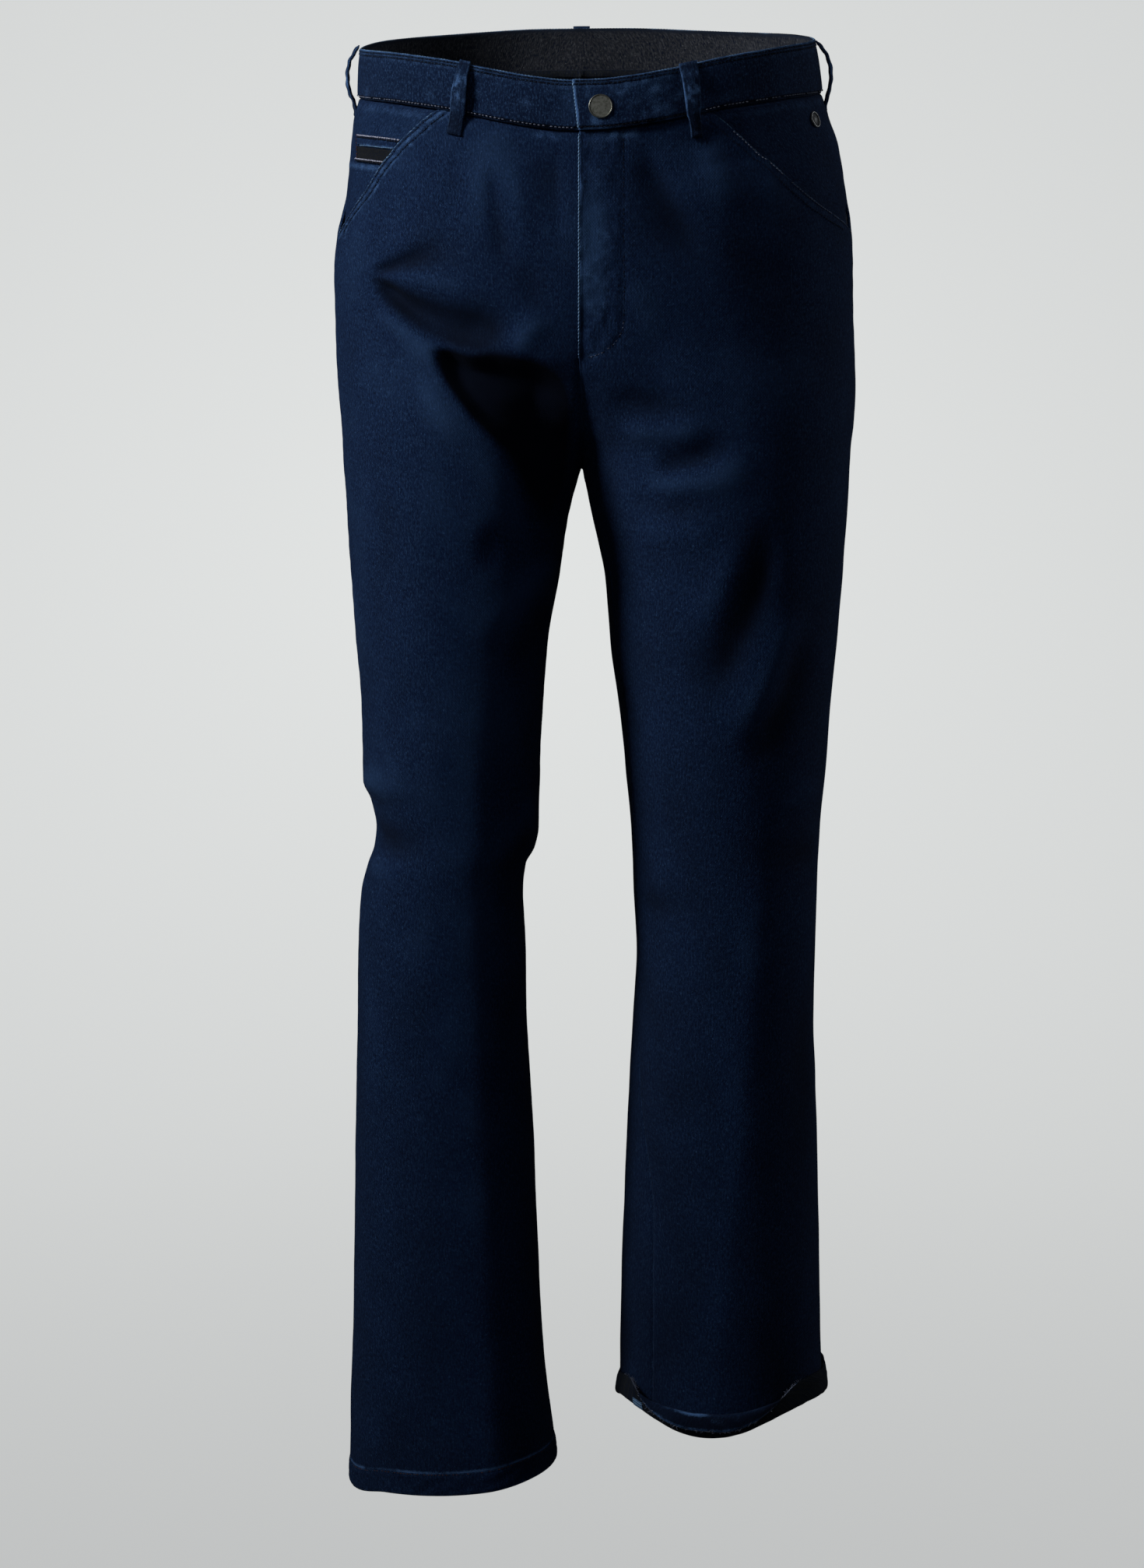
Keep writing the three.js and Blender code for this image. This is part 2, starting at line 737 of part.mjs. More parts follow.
const trousers = new THREE.Group();
trousers.name = 'denim_trousers';
trousers.add(
  frontPanel('front_right', right),
  frontPanel('front_left', left),
  backPanel('back_right', right),
  backPanel('back_left', left),
  pocketFacing('pocket_facing_right', right),
  pocketFacing('pocket_facing_left', left),
  coinPocketStrip('coin_pocket_welt', -57, -64.6, 1.2, 0x1a2740),
  coinPocketStrip('coin_pocket_band', -65.2, -75, 0.7, 0x26282a),
  waistband(wasm),
  button(),
  pocketRivet(),
  beltLoop('belt_loop_front_right', right, loopAt(right, 58), loopPaths.flat),
  beltLoop('belt_loop_front_left', left, loopAt(left, 64.5), loopPaths.flat),
  beltLoop('belt_loop_side_right', right, loopAt(right, 2), loopPaths.bowed),
  beltLoop('belt_loop_side_left', left, loopAt(left, 2), loopPaths.bowed),
  beltLoop('belt_loop_back', right, loopOnBackSeam, loopPaths.flat),
  turnedUpHem(),
);

export default trousers;
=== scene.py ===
import math

import bpy
import mathutils
import numpy as np
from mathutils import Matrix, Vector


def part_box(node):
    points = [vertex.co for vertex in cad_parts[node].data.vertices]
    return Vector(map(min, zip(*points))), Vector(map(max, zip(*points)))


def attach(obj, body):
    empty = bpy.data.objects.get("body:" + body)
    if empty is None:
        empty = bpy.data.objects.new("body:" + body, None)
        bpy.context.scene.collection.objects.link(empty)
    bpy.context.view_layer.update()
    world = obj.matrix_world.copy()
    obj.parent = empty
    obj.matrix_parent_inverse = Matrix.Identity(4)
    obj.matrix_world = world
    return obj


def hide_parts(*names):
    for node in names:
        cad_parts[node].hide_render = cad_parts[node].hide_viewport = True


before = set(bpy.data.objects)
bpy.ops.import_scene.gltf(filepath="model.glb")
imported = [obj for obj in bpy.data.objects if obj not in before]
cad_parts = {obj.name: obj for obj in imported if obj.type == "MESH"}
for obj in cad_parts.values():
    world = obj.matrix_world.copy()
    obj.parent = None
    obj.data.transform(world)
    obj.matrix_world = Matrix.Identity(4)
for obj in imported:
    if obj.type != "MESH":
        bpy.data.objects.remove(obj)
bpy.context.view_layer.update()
print("frame loaded,", len(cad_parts), "nodes")

# Tables and sizes are in millimetres in the frame's own axes: +Z up, the front faces -Y
# and the wearer's left is +X. Height 0 is the top edge of the waistband over the hips.
mm = 0.001
right = -1
left = 1
sideNames = {right: "right", left: "left"}

cut = {
    "roundness": 2.2,       # how square the cross-sections are, 2 is an ellipse
    "crotch": -294.5,
    "rightHem": -1031,
    "leftFold": -972,
    "wall": 1.5,            # cloth
    "seamGap": -0.1,        # seamed edges overlap a little
    "panelTop": -34.1,
    "underBandTop": -29.5,  # the panels' upper edges end inside the waistband
    "flyEdge": -2,          # the left front laps over to here
    "flyUnderlap": 6,
    "flyFoot": -214,
    "flyLift": 2.2,
    "pocketFoot": -134,
}


def readTable(names, rows):
    keys = names.split()
    return {key: np.array([row[i] for row in rows], float) for i, key in enumerate(keys)}


# Outer edges, depth of front and back, and where the front and back rise seams run
trunk = readTable("height outerRight outerLeft front back frontRise backRise", [
    (0, 154.5, 162.5, 113, 113, 113, 113),
    (-35, 156.3, 168, 117, 117, 117, 116.5),
    (-50, 160.4, 173, 118.8, 119.1, 118.8, 118.5),
    (-70, 163, 180, 121, 122, 121, 121),
    (-100, 165.8, 185.5, 122.5, 128, 122, 126),
    (-130, 172.4, 190, 122.5, 133, 121.5, 129.5),
    (-160, 175, 191.5, 121.5, 138, 120, 132),
    (-195, 174.5, 192.5, 119, 141, 116, 132),
    (-215, 174, 193.2, 117.5, 140, 112, 128),
    (-240, 172.5, 194, 115.5, 136, 99, 115),
    (-262, 170.5, 193, 113.5, 131, 76, 91),
    (-280, 169.5, 191, 112, 126, 42, 55),
    (-290, 169.2, 190.6, 111.4, 122.5, 21, 28),
    (cut["crotch"], 169, 190.3, 111, 121, 0, 0),
])

legs = {
    right: readTable("height outer inner front back", [
        (cut["crotch"], 169, 0.2, 111, 121),
        (-310, 168, 5, 110, 117),
        (-330, 167, 10, 108.5, 113),
        (-372, 164, 16, 105, 107),
        (-417, 161, 24, 101, 102),
        (-462, 157.5, 27.5, 96, 97),
        (-507, 157.2, 30.2, 90, 91),
        (-517, 157.0, 30.2, 88.2, 89.6),
        (-530, 151.8, 30.6, 86, 88),
        (-552, 147.6, 30.8, 82, 85),
        (-566, 149.2, 33.4, 80.3, 83.9),
        (-579, 153.8, 40.0, 78.8, 82.9),
        (-600, 158.6, 42, 77, 82),
        (-645, 161.5, 40.5, 75, 83),
        (-690, 162.5, 40, 73.5, 84),
        (-735, 163.5, 37, 72, 83),
        (-830, 165, 33, 70, 79),
        (-920, 167.5, 29, 69, 75),
        (-970, 169, 25, 69, 74),
        (cut["rightHem"], 170.5, 18.5, 70, 74),
    ]),
    left: readTable("height outer inner front back", [
        (cut["crotch"], 190.3, 0.2, 111, 121),
        (-310, 189.7, 3.5, 110, 117),
        (-330, 188.8, 7.5, 108.5, 113),
        (-350, 187.4, 12.5, 107, 110),
        (-372, 186, 17, 105, 107),
        (-395, 184, 18.7, 103, 104.5),
        (-417, 182.5, 20, 101, 102),
        (-462, 178, 26.5, 96, 97),
        (-507, 175, 31, 90, 91),
        (-552, 171, 35.5, 83, 86),
        (-597, 169.5, 37.5, 78, 83),
        (-645, 168.7, 39.5, 75, 83),
        (-690, 168, 37.5, 73.5, 84),
        (-735, 169.5, 35, 72, 83),
        (-830, 172.5, 31, 70, 79),
        (-920, 175, 28.5, 69, 75),
        (cut["leftFold"], 176, 27.5, 69, 75),
    ]),
}

# The waist hangs lowest at the centre front. Turn runs in degrees round each side of the
# body: -90 centre back, 0 over the hip, 90 centre front, 180 inside the leg.
waistDip = readTable("turn drop", [
    (90, -28.2), (85, -27.8), (81, -26.6), (76, -24.6), (72, -22.6), (62, -16.9), (56, -13.4), (46, -9.5),
    (35, -6), (17, -2.5), (0, 0.5), (-10, 3), (-30, 9), (-60, 15.6), (-80, 18.6), (-90, 19),
])

sideSeam = {
    right: readTable("height turn", [(0, 4), (-300, 7), (-550, 12), (-1031, 18)]),
    left: readTable("height turn", [(0, 5), (-134, 5), (-300, -4), (-620, -12), (-830, -40), (-972, -42)]),
}
inseam = {
    right: readTable("height turn", [(cut["crotch"], 180), (-420, 186), (-1031, 196)]),
    left: readTable("height turn", [
        (cut["crotch"], 180), (-340, 163), (-480, 157), (-620, 166), (-724, 154), (-830, 134), (-972, 132),
    ]),
}
pocketMouth = {
    right: readTable("height turn", [
        (-34, 52.2), (-49, 45.9), (-62, 40.4), (-77, 35.7),
        (-92, 30.6), (-107, 23.4), (-127, 13), (-134, 4.4),
    ]),
    left: readTable("height turn", [
        (-34, 59.8), (-53, 53.5), (-70, 48.6), (-85, 44.2),
        (-104, 35.2), (-115, 26.5), (-126, 14), (-134, 5.4),
    ]),
}


def blend(table, key, at, column, power=1):
    # smooth curve through a table column that never overshoots its rows
    x = table[key][::-1]
    y = table[column][::-1] ** power
    step = np.diff(y) / np.diff(x)
    product = step[:-1] * step[1:]
    total = np.where(product > 0, step[:-1] + step[1:], 1)
    slope = np.concatenate([step[:1], np.where(product > 0, 2 * product / total, 0), step[-1:]])
    at = np.clip(np.asarray(at, float), x[0], x[-1])
    i = np.clip(np.searchsorted(x, at) - 1, 0, len(x) - 2)
    span = x[i + 1] - x[i]
    t = (at - x[i]) / span
    mixed = (
        (2 * t ** 3 - 3 * t * t + 1) * y[i]
        + (t ** 3 - 2 * t * t + t) * span * slope[i]
        + (3 * t * t - 2 * t ** 3) * y[i + 1]
        + (t ** 3 - t * t) * span * slope[i + 1]
    )
    return mixed if power == 1 else np.maximum(mixed, 0) ** (1 / power)


def smooth(start, stop, value):
    t = np.clip((value - start) / (stop - start), 0, 1)
    return t * t * (3 - 2 * t)


def bell(distance, width):
    return np.exp(-((distance / width) ** 2))


def softNoise(u, v, seed):
    # smooth bumps from -1 to 1, about one to each unit of u and v; v is 0 for noise along a line
    lattice = np.random.default_rng(seed).uniform(-1, 1, (97, 89))
    i = np.floor(u).astype(int)
    j = np.floor(v).astype(int)
    fu = smooth(0, 1, u - i)
    fv = smooth(0, 1, v - j)
    near = lattice[i % 97, j % 89] * (1 - fu) + lattice[(i + 1) % 97, j % 89] * fu
    far = lattice[i % 97, (j + 1) % 89] * (1 - fu) + lattice[(i + 1) % 97, (j + 1) % 89] * fu
    return near * (1 - fv) + far * fv


def sectionAt(side, height):
    # half a cross-section: clipped by the centre plane above the crotch, whole below it
    n = cut["roundness"]
    outer = blend(trunk, "height", height, "outerRight" if side == right else "outerLeft")
    section = {}
    for face in ("front", "back"):
        deep = blend(trunk, "height", height, face)
        rise = np.minimum(1, blend(trunk, "height", height, face + "Rise", 2) / deep)
        clipped = np.maximum(0, 1 - rise ** n) ** (1 / n)
        half = outer / (1 + clipped)
        section[face] = (deep, half, clipped * half)
    legOuter = blend(legs[side], "height", height, "outer")
    legInner = blend(legs[side], "height", height, "inner")
    above = height > cut["crotch"]
    for face in ("front", "back"):
        deep, half, centre = section[face]
        section[face] = (
            np.where(above, deep, blend(legs[side], "height", height, face)),
            np.where(above, half, (legOuter - legInner) / 2),
            np.where(above, centre, (legOuter + legInner) / 2),
        )
    return section


def pick(section, isFront):
    return [np.where(isFront, a, b) for a, b in zip(section["front"], section["back"])]


def turnAt(side, height, distance, isFront=True):
    # turn at which the section passes a distance from the centre line
    n = cut["roundness"]
    height = np.asarray(height, float)
    _, half, centre = pick(sectionAt(side, height), isFront)
    across = (distance - centre) / half
    share = np.clip(np.abs(across), 0.00001, 0.99999)
    angle = np.degrees(np.arctan((share ** -n - 1) ** (1 / n)))
    turn = np.where(across < 0, 180 - angle, angle)
    return np.where(isFront, turn, -turn)


# How far the right hem is drawn up, from the inner side of the leg to the outer
hemRise = readTable("x rise", [
    (5, 16), (-22, 10.6), (-62, 4.6), (-95, 2.3), (-142, 0.8), (-162, -3.8), (-175, -5.5),
])


def heightShift(side, turn, height, x):
    # how far the cloth hangs off its level height
    folded = np.where(turn > 90, 180 - turn, turn)
    folded = np.where(folded < -90, -180 - folded, folded)
    waist = smooth(-240, -60, height) * (blend(waistDip, "turn", folded, "drop") + 0.01 * x)
    if side == right:
        return waist + smooth(-900, cut["rightHem"], height) * blend(hemRise, "x", x, "rise")
    fromFront = (turn - 97 + 540) % 360 - 180
    sag = 21.4 * bell(fromFront, 40) + 11.5 * bell(fromFront - 95, 26) + 4.5 * bell(fromFront + 95, 26)
    return waist + smooth(-880, cut["leftFold"], height) * (10 - sag)


def ovalPoint(side, turn, height):
    n = cut["roundness"]
    along = np.cos(np.radians(turn))
    deepway = np.sin(np.radians(turn))
    reach = (np.abs(along) ** n + np.abs(deepway) ** n) ** (-1 / n)
    deep, half, centre = pick(sectionAt(side, height), deepway >= 0)
    x = side * (centre + half * along * reach)
    y = -deep * deepway * reach
    return np.stack([x, y, height + heightShift(side, turn, height, x)], -1)


def skinPoint(side, turn, height):
    turn, height = np.broadcast_arrays(np.asarray(turn, float), np.asarray(height, float))
    point = ovalPoint(side, turn, height)
    past = side * point[..., 0] < 0  # cloth past the centre line follows the other side
    if past.any():
        isFront = np.sin(np.radians(turn[past])) >= 0
        other = turnAt(-side, height[past], -side * point[past][:, 0], isFront)
        point[past] = ovalPoint(-side, other, height[past])
    return point


def skinNormal(side, turn, height):
    around = skinPoint(side, turn + 1, height) - skinPoint(side, turn - 1, height)
    down = skinPoint(side, turn, height - 1.5) - skinPoint(side, turn, height + 1.5)
    normal = np.cross(around, down) * side
    return normal / np.linalg.norm(normal, axis=-1, keepdims=True)


def perDegree(side, turn, height):
    # millimetres of cloth to one degree of turn
    step = skinPoint(side, turn + 0.5, height) - skinPoint(side, turn - 0.5, height)
    return np.linalg.norm(step, axis=-1)


def frontPlace(side, x, z):
    # turn and level height of the front cloth seen at x and z
    height = np.array(z, float)
    for _ in range(10):
        turn = turnAt(side, height, side * np.asarray(x, float))
        point = ovalPoint(side, turn, height)
        height = height + z - point[..., 2]
    return turn, height


# Creases, each a soft trough (negative depth) or ridge drawn through three points of the
# front or back. It grows from the first width to the last, fades in and out over the two
# shares of its length, and a lean makes its upper or lower side the steeper one.
creaseColumns = "x1 z1 x2 z2 x3 z3 depth width1 width2 fadeIn fadeOut lean"
creases = {
    "front": readTable(creaseColumns, [
        # pinch at the right hip, with one trough up and one down to the fly
        (-147, -158, -117, -147, -78, -132, -4.4, 2.4, 14, 0.2, 0.6, 0.3),
        (-147, -158, -104, -190, -34, -208, -9.6, 2.4, 19, 0.18, 0.3, -0.25),
        (-141, -158, -104, -162, -62, -172, 1.6, 1.8, 12, 0.1, 0.5, 0),
        (-146, -180, -114, -203, -92, -226, 2.4, 5, 10, 0.25, 0.4, 0),
        (-50, -207, -36, -197, -22, -180, 2.2, 8, 10, 0.4, 0.4, 0),
        # hollow beside the fly foot, running into the crotch and down the inner thigh
        (-96, -206, -60, -204, -26, -212, 2.0, 6, 9, 0.3, 0.4, 0),
        (-110, -222, -96, -252, -74, -280, 1.8, 7, 9, 0.3, 0.5, 0),
        (-14, -352, -42, -378, -76, -420, 3.0, 9, 11, 0.3, 0.5, 0),
        (-16, -386, -34, -410, -52, -452, -3.0, 10, 12, 0.3, 0.5, 0),
        (-52, -322, -62, -346, -60, -372, -2.4, 10, 12, 0.4, 0.5, 0),
        # left groin, two shallow troughs rising to the hip
        (12, -246, 46, -247, 84, -260, -2.9, 10, 15, 0.35, 0.5, 0.2),
        (20, -268, 60, -264, 96, -274, 2.6, 9, 12, 0.3, 0.4, 0),
        (48, -290, 78, -283, 116, -262, -3.6, 7, 13, 0.25, 0.5, -0.2),
        (40, -302, 84, -300, 122, -288, 2.6, 9, 12, 0.3, 0.4, 0),
        (22, -318, 58, -316, 92, -326, -1.6, 8, 12, 0.4, 0.4, 0),
        (24, -340, 66, -334, 100, -338, 1.4, 9, 12, 0.4, 0.4, 0),
        # left thigh, a long slanting pair
        (128, -318, 117, -388, 80, -456, -4.6, 11, 15, 0.3, 0.3, 0.2),
        (146, -372, 132, -434, 92, -486, 3.6, 9, 15, 0.3, 0.4, 0),
        (152, -396, 142, -456, 112, -510, -3.6, 10, 14, 0.3, 0.4, 0),
        (112, -330, 96, -372, 78, -404, 2.2, 12, 14, 0.4, 0.4, 0),
        # drape lines hanging from the waistband
        (-60, -82, -57, -124, -48, -178, -1.5, 4, 7, 0.25, 0.4, 0),
        (-72, -74, -69, -110, -64, -150, 0.9, 5, 8, 0.3, 0.5, 0),
        (-46, -80, -42, -120, -34, -160, 0.9, 5, 8, 0.3, 0.5, 0),
        (-88, -70, -88, -104, -96, -132, -0.9, 5, 8, 0.3, 0.5, 0),
        (-18, -70, -17, -112, -16, -150, -0.9, 4, 6, 0.3, 0.5, 0),
        # under the waistband
        (-66, -58, -58, -82, -54, -112, 1.4, 8, 12, 0.3, 0.5, 0),
        (-28, -74, -24, -104, -30, -138, -1.6, 8, 11, 0.3, 0.5, 0),
        (-44, -140, -34, -168, -20, -190, -1.8, 10, 12, 0.4, 0.5, 0),
        (42, -72, 58, -110, 94, -170, -3.4, 6, 19, 0.4, 0.45, 0.2),
        (84, -66, 92, -92, 112, -122, 2.0, 9, 14, 0.3, 0.5, 0),
        (92, -124, 118, -152, 142, -176, -1.8, 12, 16, 0.4, 0.4, 0),
        (36, -152, 42, -182, 50, -208, 1.4, 10, 12, 0.4, 0.4, 0),
        (124, -86, 134, -108, 146, -124, 1.4, 7, 9, 0.3, 0.5, 0),
        # right thigh, a soft ridge beside the side seam
        (-164, -366, -158, -398, -148, -436, 1.6, 4, 5, 0.4, 0.5, 0),
        (-140, -300, -134, -340, -136, -388, -1.4, 11, 13, 0.4, 0.4, 0),
        # knees
        (-155, -548, -132, -556, -92, -552, -3.4, 6, 15, 0.15, 0.6, 0),
        (-160, -506, -142, -514, -110, -506, 2.2, 7, 14, 0.3, 0.6, 0),
        (-156, -584, -140, -574, -118, -578, 1.8, 7, 12, 0.3, 0.6, 0),
        (-30, -548, -48, -572, -64, -584, -2.6, 6, 12, 0.2, 0.6, 0),
        (-28, -520, -44, -540, -66, -548, 2.0, 8, 12, 0.3, 0.6, 0),
        (170, -560, 146, -566, 110, -560, -2.0, 8, 14, 0.3, 0.6, 0),
        (36, -596, 62, -602, 92, -594, -1.6, 8, 14, 0.3, 0.6, 0),
        (168, -510, 150, -524, 118, -530, 1.6, 9, 13, 0.3, 0.6, 0),
        # lower legs
        (-158, -640, -148, -700, -152, -770, 1.2, 9, 12, 0.4, 0.4, 0),
        (-44, -640, -52, -700, -46, -760, -1.4, 10, 12, 0.4, 0.4, 0),
        (150, -650, 158, -730, 152, -810, -1.4, 10, 13, 0.4, 0.4, 0),
        (54, -880, 60, -920, 58, -962, -1.0, 8, 10, 0.4, 0.4, 0),
        (150, -900, 140, -935, 146, -966, -1.2, 9, 11, 0.4, 0.3, 0),
        (-52, -960, -48, -992, -42, -1022, -1.2, 9, 10, 0.4, 0.2, 0),
        (-140, -930, -146, -975, -152, -1010, 0.9, 9, 11, 0.4, 0.3, 0),
    ]),
    "back": readTable(creaseColumns, [
        # under the seat
        (-18, -258, -60, -286, -124, -314, -4.6, 10, 15, 0.2, 0.5, 0.3),
        (20, -254, 70, -280, 134, -306, -4.8, 10, 15, 0.2, 0.5, 0.3),
        (-30, -284, -72, -310, -126, -334, 3.0, 10, 13, 0.3, 0.5, 0),
        (30, -280, 80, -302, 132, -326, 2.8, 10, 13, 0.3, 0.5, 0),
        (-40, -326, -80, -346, -132, -356, -3.0, 9, 13, 0.3, 0.5, 0),
        (44, -322, 86, -344, 128, -350, -2.6, 9, 13, 0.3, 0.5, 0),
        (-24, -214, -44, -236, -78, -252, -2.0, 9, 12, 0.3, 0.5, 0),
        (22, -212, 46, -232, 82, -244, -2.0, 9, 12, 0.3, 0.5, 0),
        # below the waistband
        (-30, -40, -40, -66, -58, -96, -2.0, 8, 13, 0.2, 0.5, 0),
        (34, -38, 42, -62, 62, -90, -1.8, 8, 13, 0.2, 0.5, 0),
        (-96, -50, -104, -80, -120, -110, -1.6, 9, 14, 0.3, 0.5, 0),
        (98, -54, 110, -86, 128, -112, -1.6, 9, 14, 0.3, 0.5, 0),
        (-8, -60, -7, -110, -6, -170, -1.2, 7, 9, 0.3, 0.4, 0),
        # thighs
        (-140, -380, -122, -430, -84, -476, -2.4, 10, 15, 0.3, 0.4, 0),
        (146, -372, 128, -428, 92, -470, -2.2, 10, 15, 0.3, 0.4, 0),
        (-36, -400, -54, -440, -64, -490, 2.0, 10, 13, 0.4, 0.5, 0),
        (40, -396, 58, -440, 70, -486, 2.0, 10, 13, 0.4, 0.5, 0),
        # behind the knees
        (-154, -548, -116, -566, -52, -574, -4.6, 7, 14, 0.15, 0.5, 0.2),
        (-150, -576, -112, -592, -58, -606, 3.0, 8, 13, 0.3, 0.5, 0),
        (-144, -618, -108, -622, -66, -640, -3.0, 8, 13, 0.2, 0.5, 0),
        (-36, -532, -62, -540, -94, -536, -2.6, 8, 12, 0.3, 0.5, 0),
        (164, -552, 126, -566, 60, -560, -4.0, 7, 14, 0.15, 0.5, 0.2),
        (158, -584, 122, -594, 70, -598, 2.8, 8, 13, 0.3, 0.5, 0),
        (52, -610, 92, -622, 136, -634, -2.8, 8, 13, 0.2, 0.5, 0),
        (44, -536, 74, -532, 104, -540, -2.2, 8, 12, 0.3, 0.5, 0),
        # calves and heels
        (-100, -680, -96, -760, -104, -850, 1.6, 16, 20, 0.4, 0.4, 0),
        (110, -680, 104, -760, 108, -840, 1.6, 16, 20, 0.4, 0.4, 0),
        (-140, -900, -116, -930, -80, -944, -1.8, 10, 14, 0.3, 0.5, 0),
        (-56, -950, -80, -972, -112, -980, -1.6, 9, 13, 0.3, 0.5, 0),
        (60, -880, 92, -900, 130, -904, -1.8, 10, 14, 0.3, 0.5, 0),
    ]),
}

# Soft ridge down the front and back of each leg, where the flat of the cloth turns away
legRidge = {
    right: readTable("z x height", [
        (-232, -88, 0), (-262, -78, 2.0), (-300, -60, 2.6), (-360, -56, 2.2),
        (-440, -62, 2.2), (-490, -69, 2.4), (-540, -74, 2.2), (-620, -76, 2.6),
        (-790, -71, 3.0), (-905, -67, 3.0), (-1060, -64, 2.6),
    ]),
    left: readTable("z x height", [
        (-480, 140, 0), (-540, 131, 1.6), (-618, 123, 2.6),
        (-750, 113, 3.0), (-860, 103, 3.0), (-990, 92, 2.4),
    ]),
}

# The deep hollow beside the fly foot: where its left edge runs, and how it ends
hollow = {
    "edge": readTable("z x", [(-200, -101), (-214, -100), (-252, -79), (-283, -54), (-336, -41)]),
    "depth": 12.5,
    "top": -206,
    "foot": -350,
}


def curveThrough(row):
    # points of a bend that passes through three places
    t = np.linspace(0, 1, 14)[:, None]
    first, middle, last = (np.array(row[i:i + 2]) for i in (0, 2, 4))
    control = 2 * middle - (first + last) / 2
    return first * (1 - t) ** 2 + control * 2 * t * (1 - t) + last * t * t


def alongPath(path, x, z):
    # signed distance from a path of points, and the share of its length at the nearest one
    best = np.full(x.shape, 1e9)
    share = np.zeros(x.shape)
    sign = np.ones(x.shape)
    spans = len(path) - 1
    for i in range(spans):
        run = path[i + 1] - path[i]
        length = run @ run
        t = np.clip(((x - path[i][0]) * run[0] + (z - path[i][1]) * run[1]) / length, 0, 1)
        dx = x - path[i][0] - t * run[0]
        dz = z - path[i][1] - t * run[1]
        distance = np.hypot(dx, dz)
        nearer = distance < best
        best = np.where(nearer, distance, best)
        share = np.where(nearer, (i + t) / spans, share)
        sign = np.where(nearer, np.sign(run[0] * dz - run[1] * dx), sign)
    return best, share, sign


def creaseHeight(point):
    x, y, z = point[..., 0], point[..., 1], point[..., 2]
    total = np.zeros(x.shape)
    for face, facing in (("front", -y), ("back", y)):
        fade = smooth(15, 45, facing)
        table = creases[face]
        for row in zip(*table.values()):
            depth, width1, width2, fadeIn, fadeOut, lean = row[6:]
            reach = 2.4 * max(width1, width2)
            path = curveThrough(row)
            near = (fade > 0) & (x > path[:, 0].min() - reach) & (x < path[:, 0].max() + reach)
            near &= (z > path[:, 1].min() - reach) & (z < path[:, 1].max() + reach)
            if not near.any():
                continue
            distance, share, sign = alongPath(path, x[near], z[near])
            width = (width1 + (width2 - width1) * share) * (1 - lean * sign)
            taper = smooth(0, fadeIn, share) * smooth(1, 1 - fadeOut, share)
            total[near] += fade[near] * depth * taper * bell(distance, width)
    return total


def hollowHeight(point):
    x, y, z = point[..., 0], point[..., 1], point[..., 2]
    past = x - blend(hollow["edge"], "z", z, "x")
    wall = 8 + 16 * smooth(-225, -300, z)
    top = hollow["top"] - 0.08 * past + 2.5 * softNoise(x / 19, 0, 11)
    ends = smooth(0, 1, (top - z) / (9 + 0.32 * np.maximum(past, 0))) * smooth(hollow["foot"], -268, z)
    deep = hollow["depth"] * smooth(-2, wall, past) + 6 * smooth(8, 60, past)
    return -deep * ends * smooth(-2, -30, x) * smooth(10, 40, -y)


def ridgeHeight(side, point):
    x, y, z = point[..., 0], point[..., 1], point[..., 2]
    away = np.abs(x - blend(legRidge[side], "z", z, "x"))
    crest = np.exp(-np.sqrt((away / 19) ** 2 + 0.06))
    return smooth(10, 40, np.abs(y)) * blend(legRidge[side], "z", z, "height") * crest


# The cloth's own slow unevenness, and how much its folds change its colour: lighter on ridges where denim
# fades, darker in troughs and in the hollow as painted shade, and lighter where the fly is handled
cloth = {"uneven": 0.42, "unevenSize": 46, "foldForShade": 3.2, "hollowShade": 0.16, "flyShade": 0.9}


def wander(turn, height, side):
    size = cloth["unevenSize"]
    u = side * turn * 1.6 / size + 11 * side
    return softNoise(u, height / size, 3) + 0.45 * softNoise(2.1 * u, height / (0.45 * size), 4)


def clothPoint(side, turn, height, out, above=0):
    # place on the cloth of one side, lifted by its folds and by out
    turn, height = np.broadcast_arrays(np.asarray(turn, float), np.asarray(height, float))
    point = skinPoint(side, turn, height)
    fold = creaseHeight(point)
    if side == right:
        fold = fold + hollowHeight(point)
    if np.min(height) < -225:
        fold = fold + ridgeHeight(side, point)
    fold = fold + cloth["uneven"] * wander(turn, height, side) * smooth(-40, -80, height)
    lift = out + above + fold
    shift = skinNormal(side, turn, height) * lift[..., None]
    # seamed edges on the centre line stay on it
    shift[..., 0] *= 1 - bell(point[..., 0], 9) * smooth(cut["crotch"] - 6, cut["crotch"] + 6, height)
    return point + shift, fold


# Seam lines of the panels, as turns by height


def sideTurn(side, height):
    return blend(sideSeam[side], "height", height, "turn")


def inseamTurn(side, height):
    return blend(inseam[side], "height", height, "turn")


def mouthTurn(side, height):
    return blend(pocketMouth[side], "height", height, "turn")


def degreesFor(side, height, length):
    return np.degrees(length / sectionAt(side, np.asarray(height, float))["front"][1])


def frontOuterTurn(side, height):
    seam = sideTurn(side, height) + degreesFor(side, height, cut["seamGap"] / 2)
    return np.where(height > cut["pocketFoot"], mouthTurn(side, height), seam)


def frontEdgeDistance(side, height):
    half = cut["seamGap"] / 2
    lapped = smooth(-240, cut["flyFoot"], height)
    if side == left:
        return half + (cut["flyEdge"] - half) * lapped
    under = smooth(cut["flyFoot"], -199, height) * (cut["flyUnderlap"] - cut["flyEdge"])
    return half + (half - cut["flyEdge"]) * lapped - under


def frontInnerTurn(side, height):
    rise = turnAt(side, height, frontEdgeDistance(side, height))
    leg = inseamTurn(side, height) - degreesFor(side, height, cut["seamGap"] / 2)
    return np.where(height > cut["crotch"], rise, leg)


def backOuterTurn(side, height):
    return sideTurn(side, height) - degreesFor(side, height, cut["seamGap"] / 2)


def backInnerTurn(side, height):
    rise = turnAt(side, height, cut["seamGap"] / 2, False)
    leg = inseamTurn(side, height) - 360 + degreesFor(side, height, cut["seamGap"] / 2)
    return np.where(height > cut["crotch"], rise, leg)


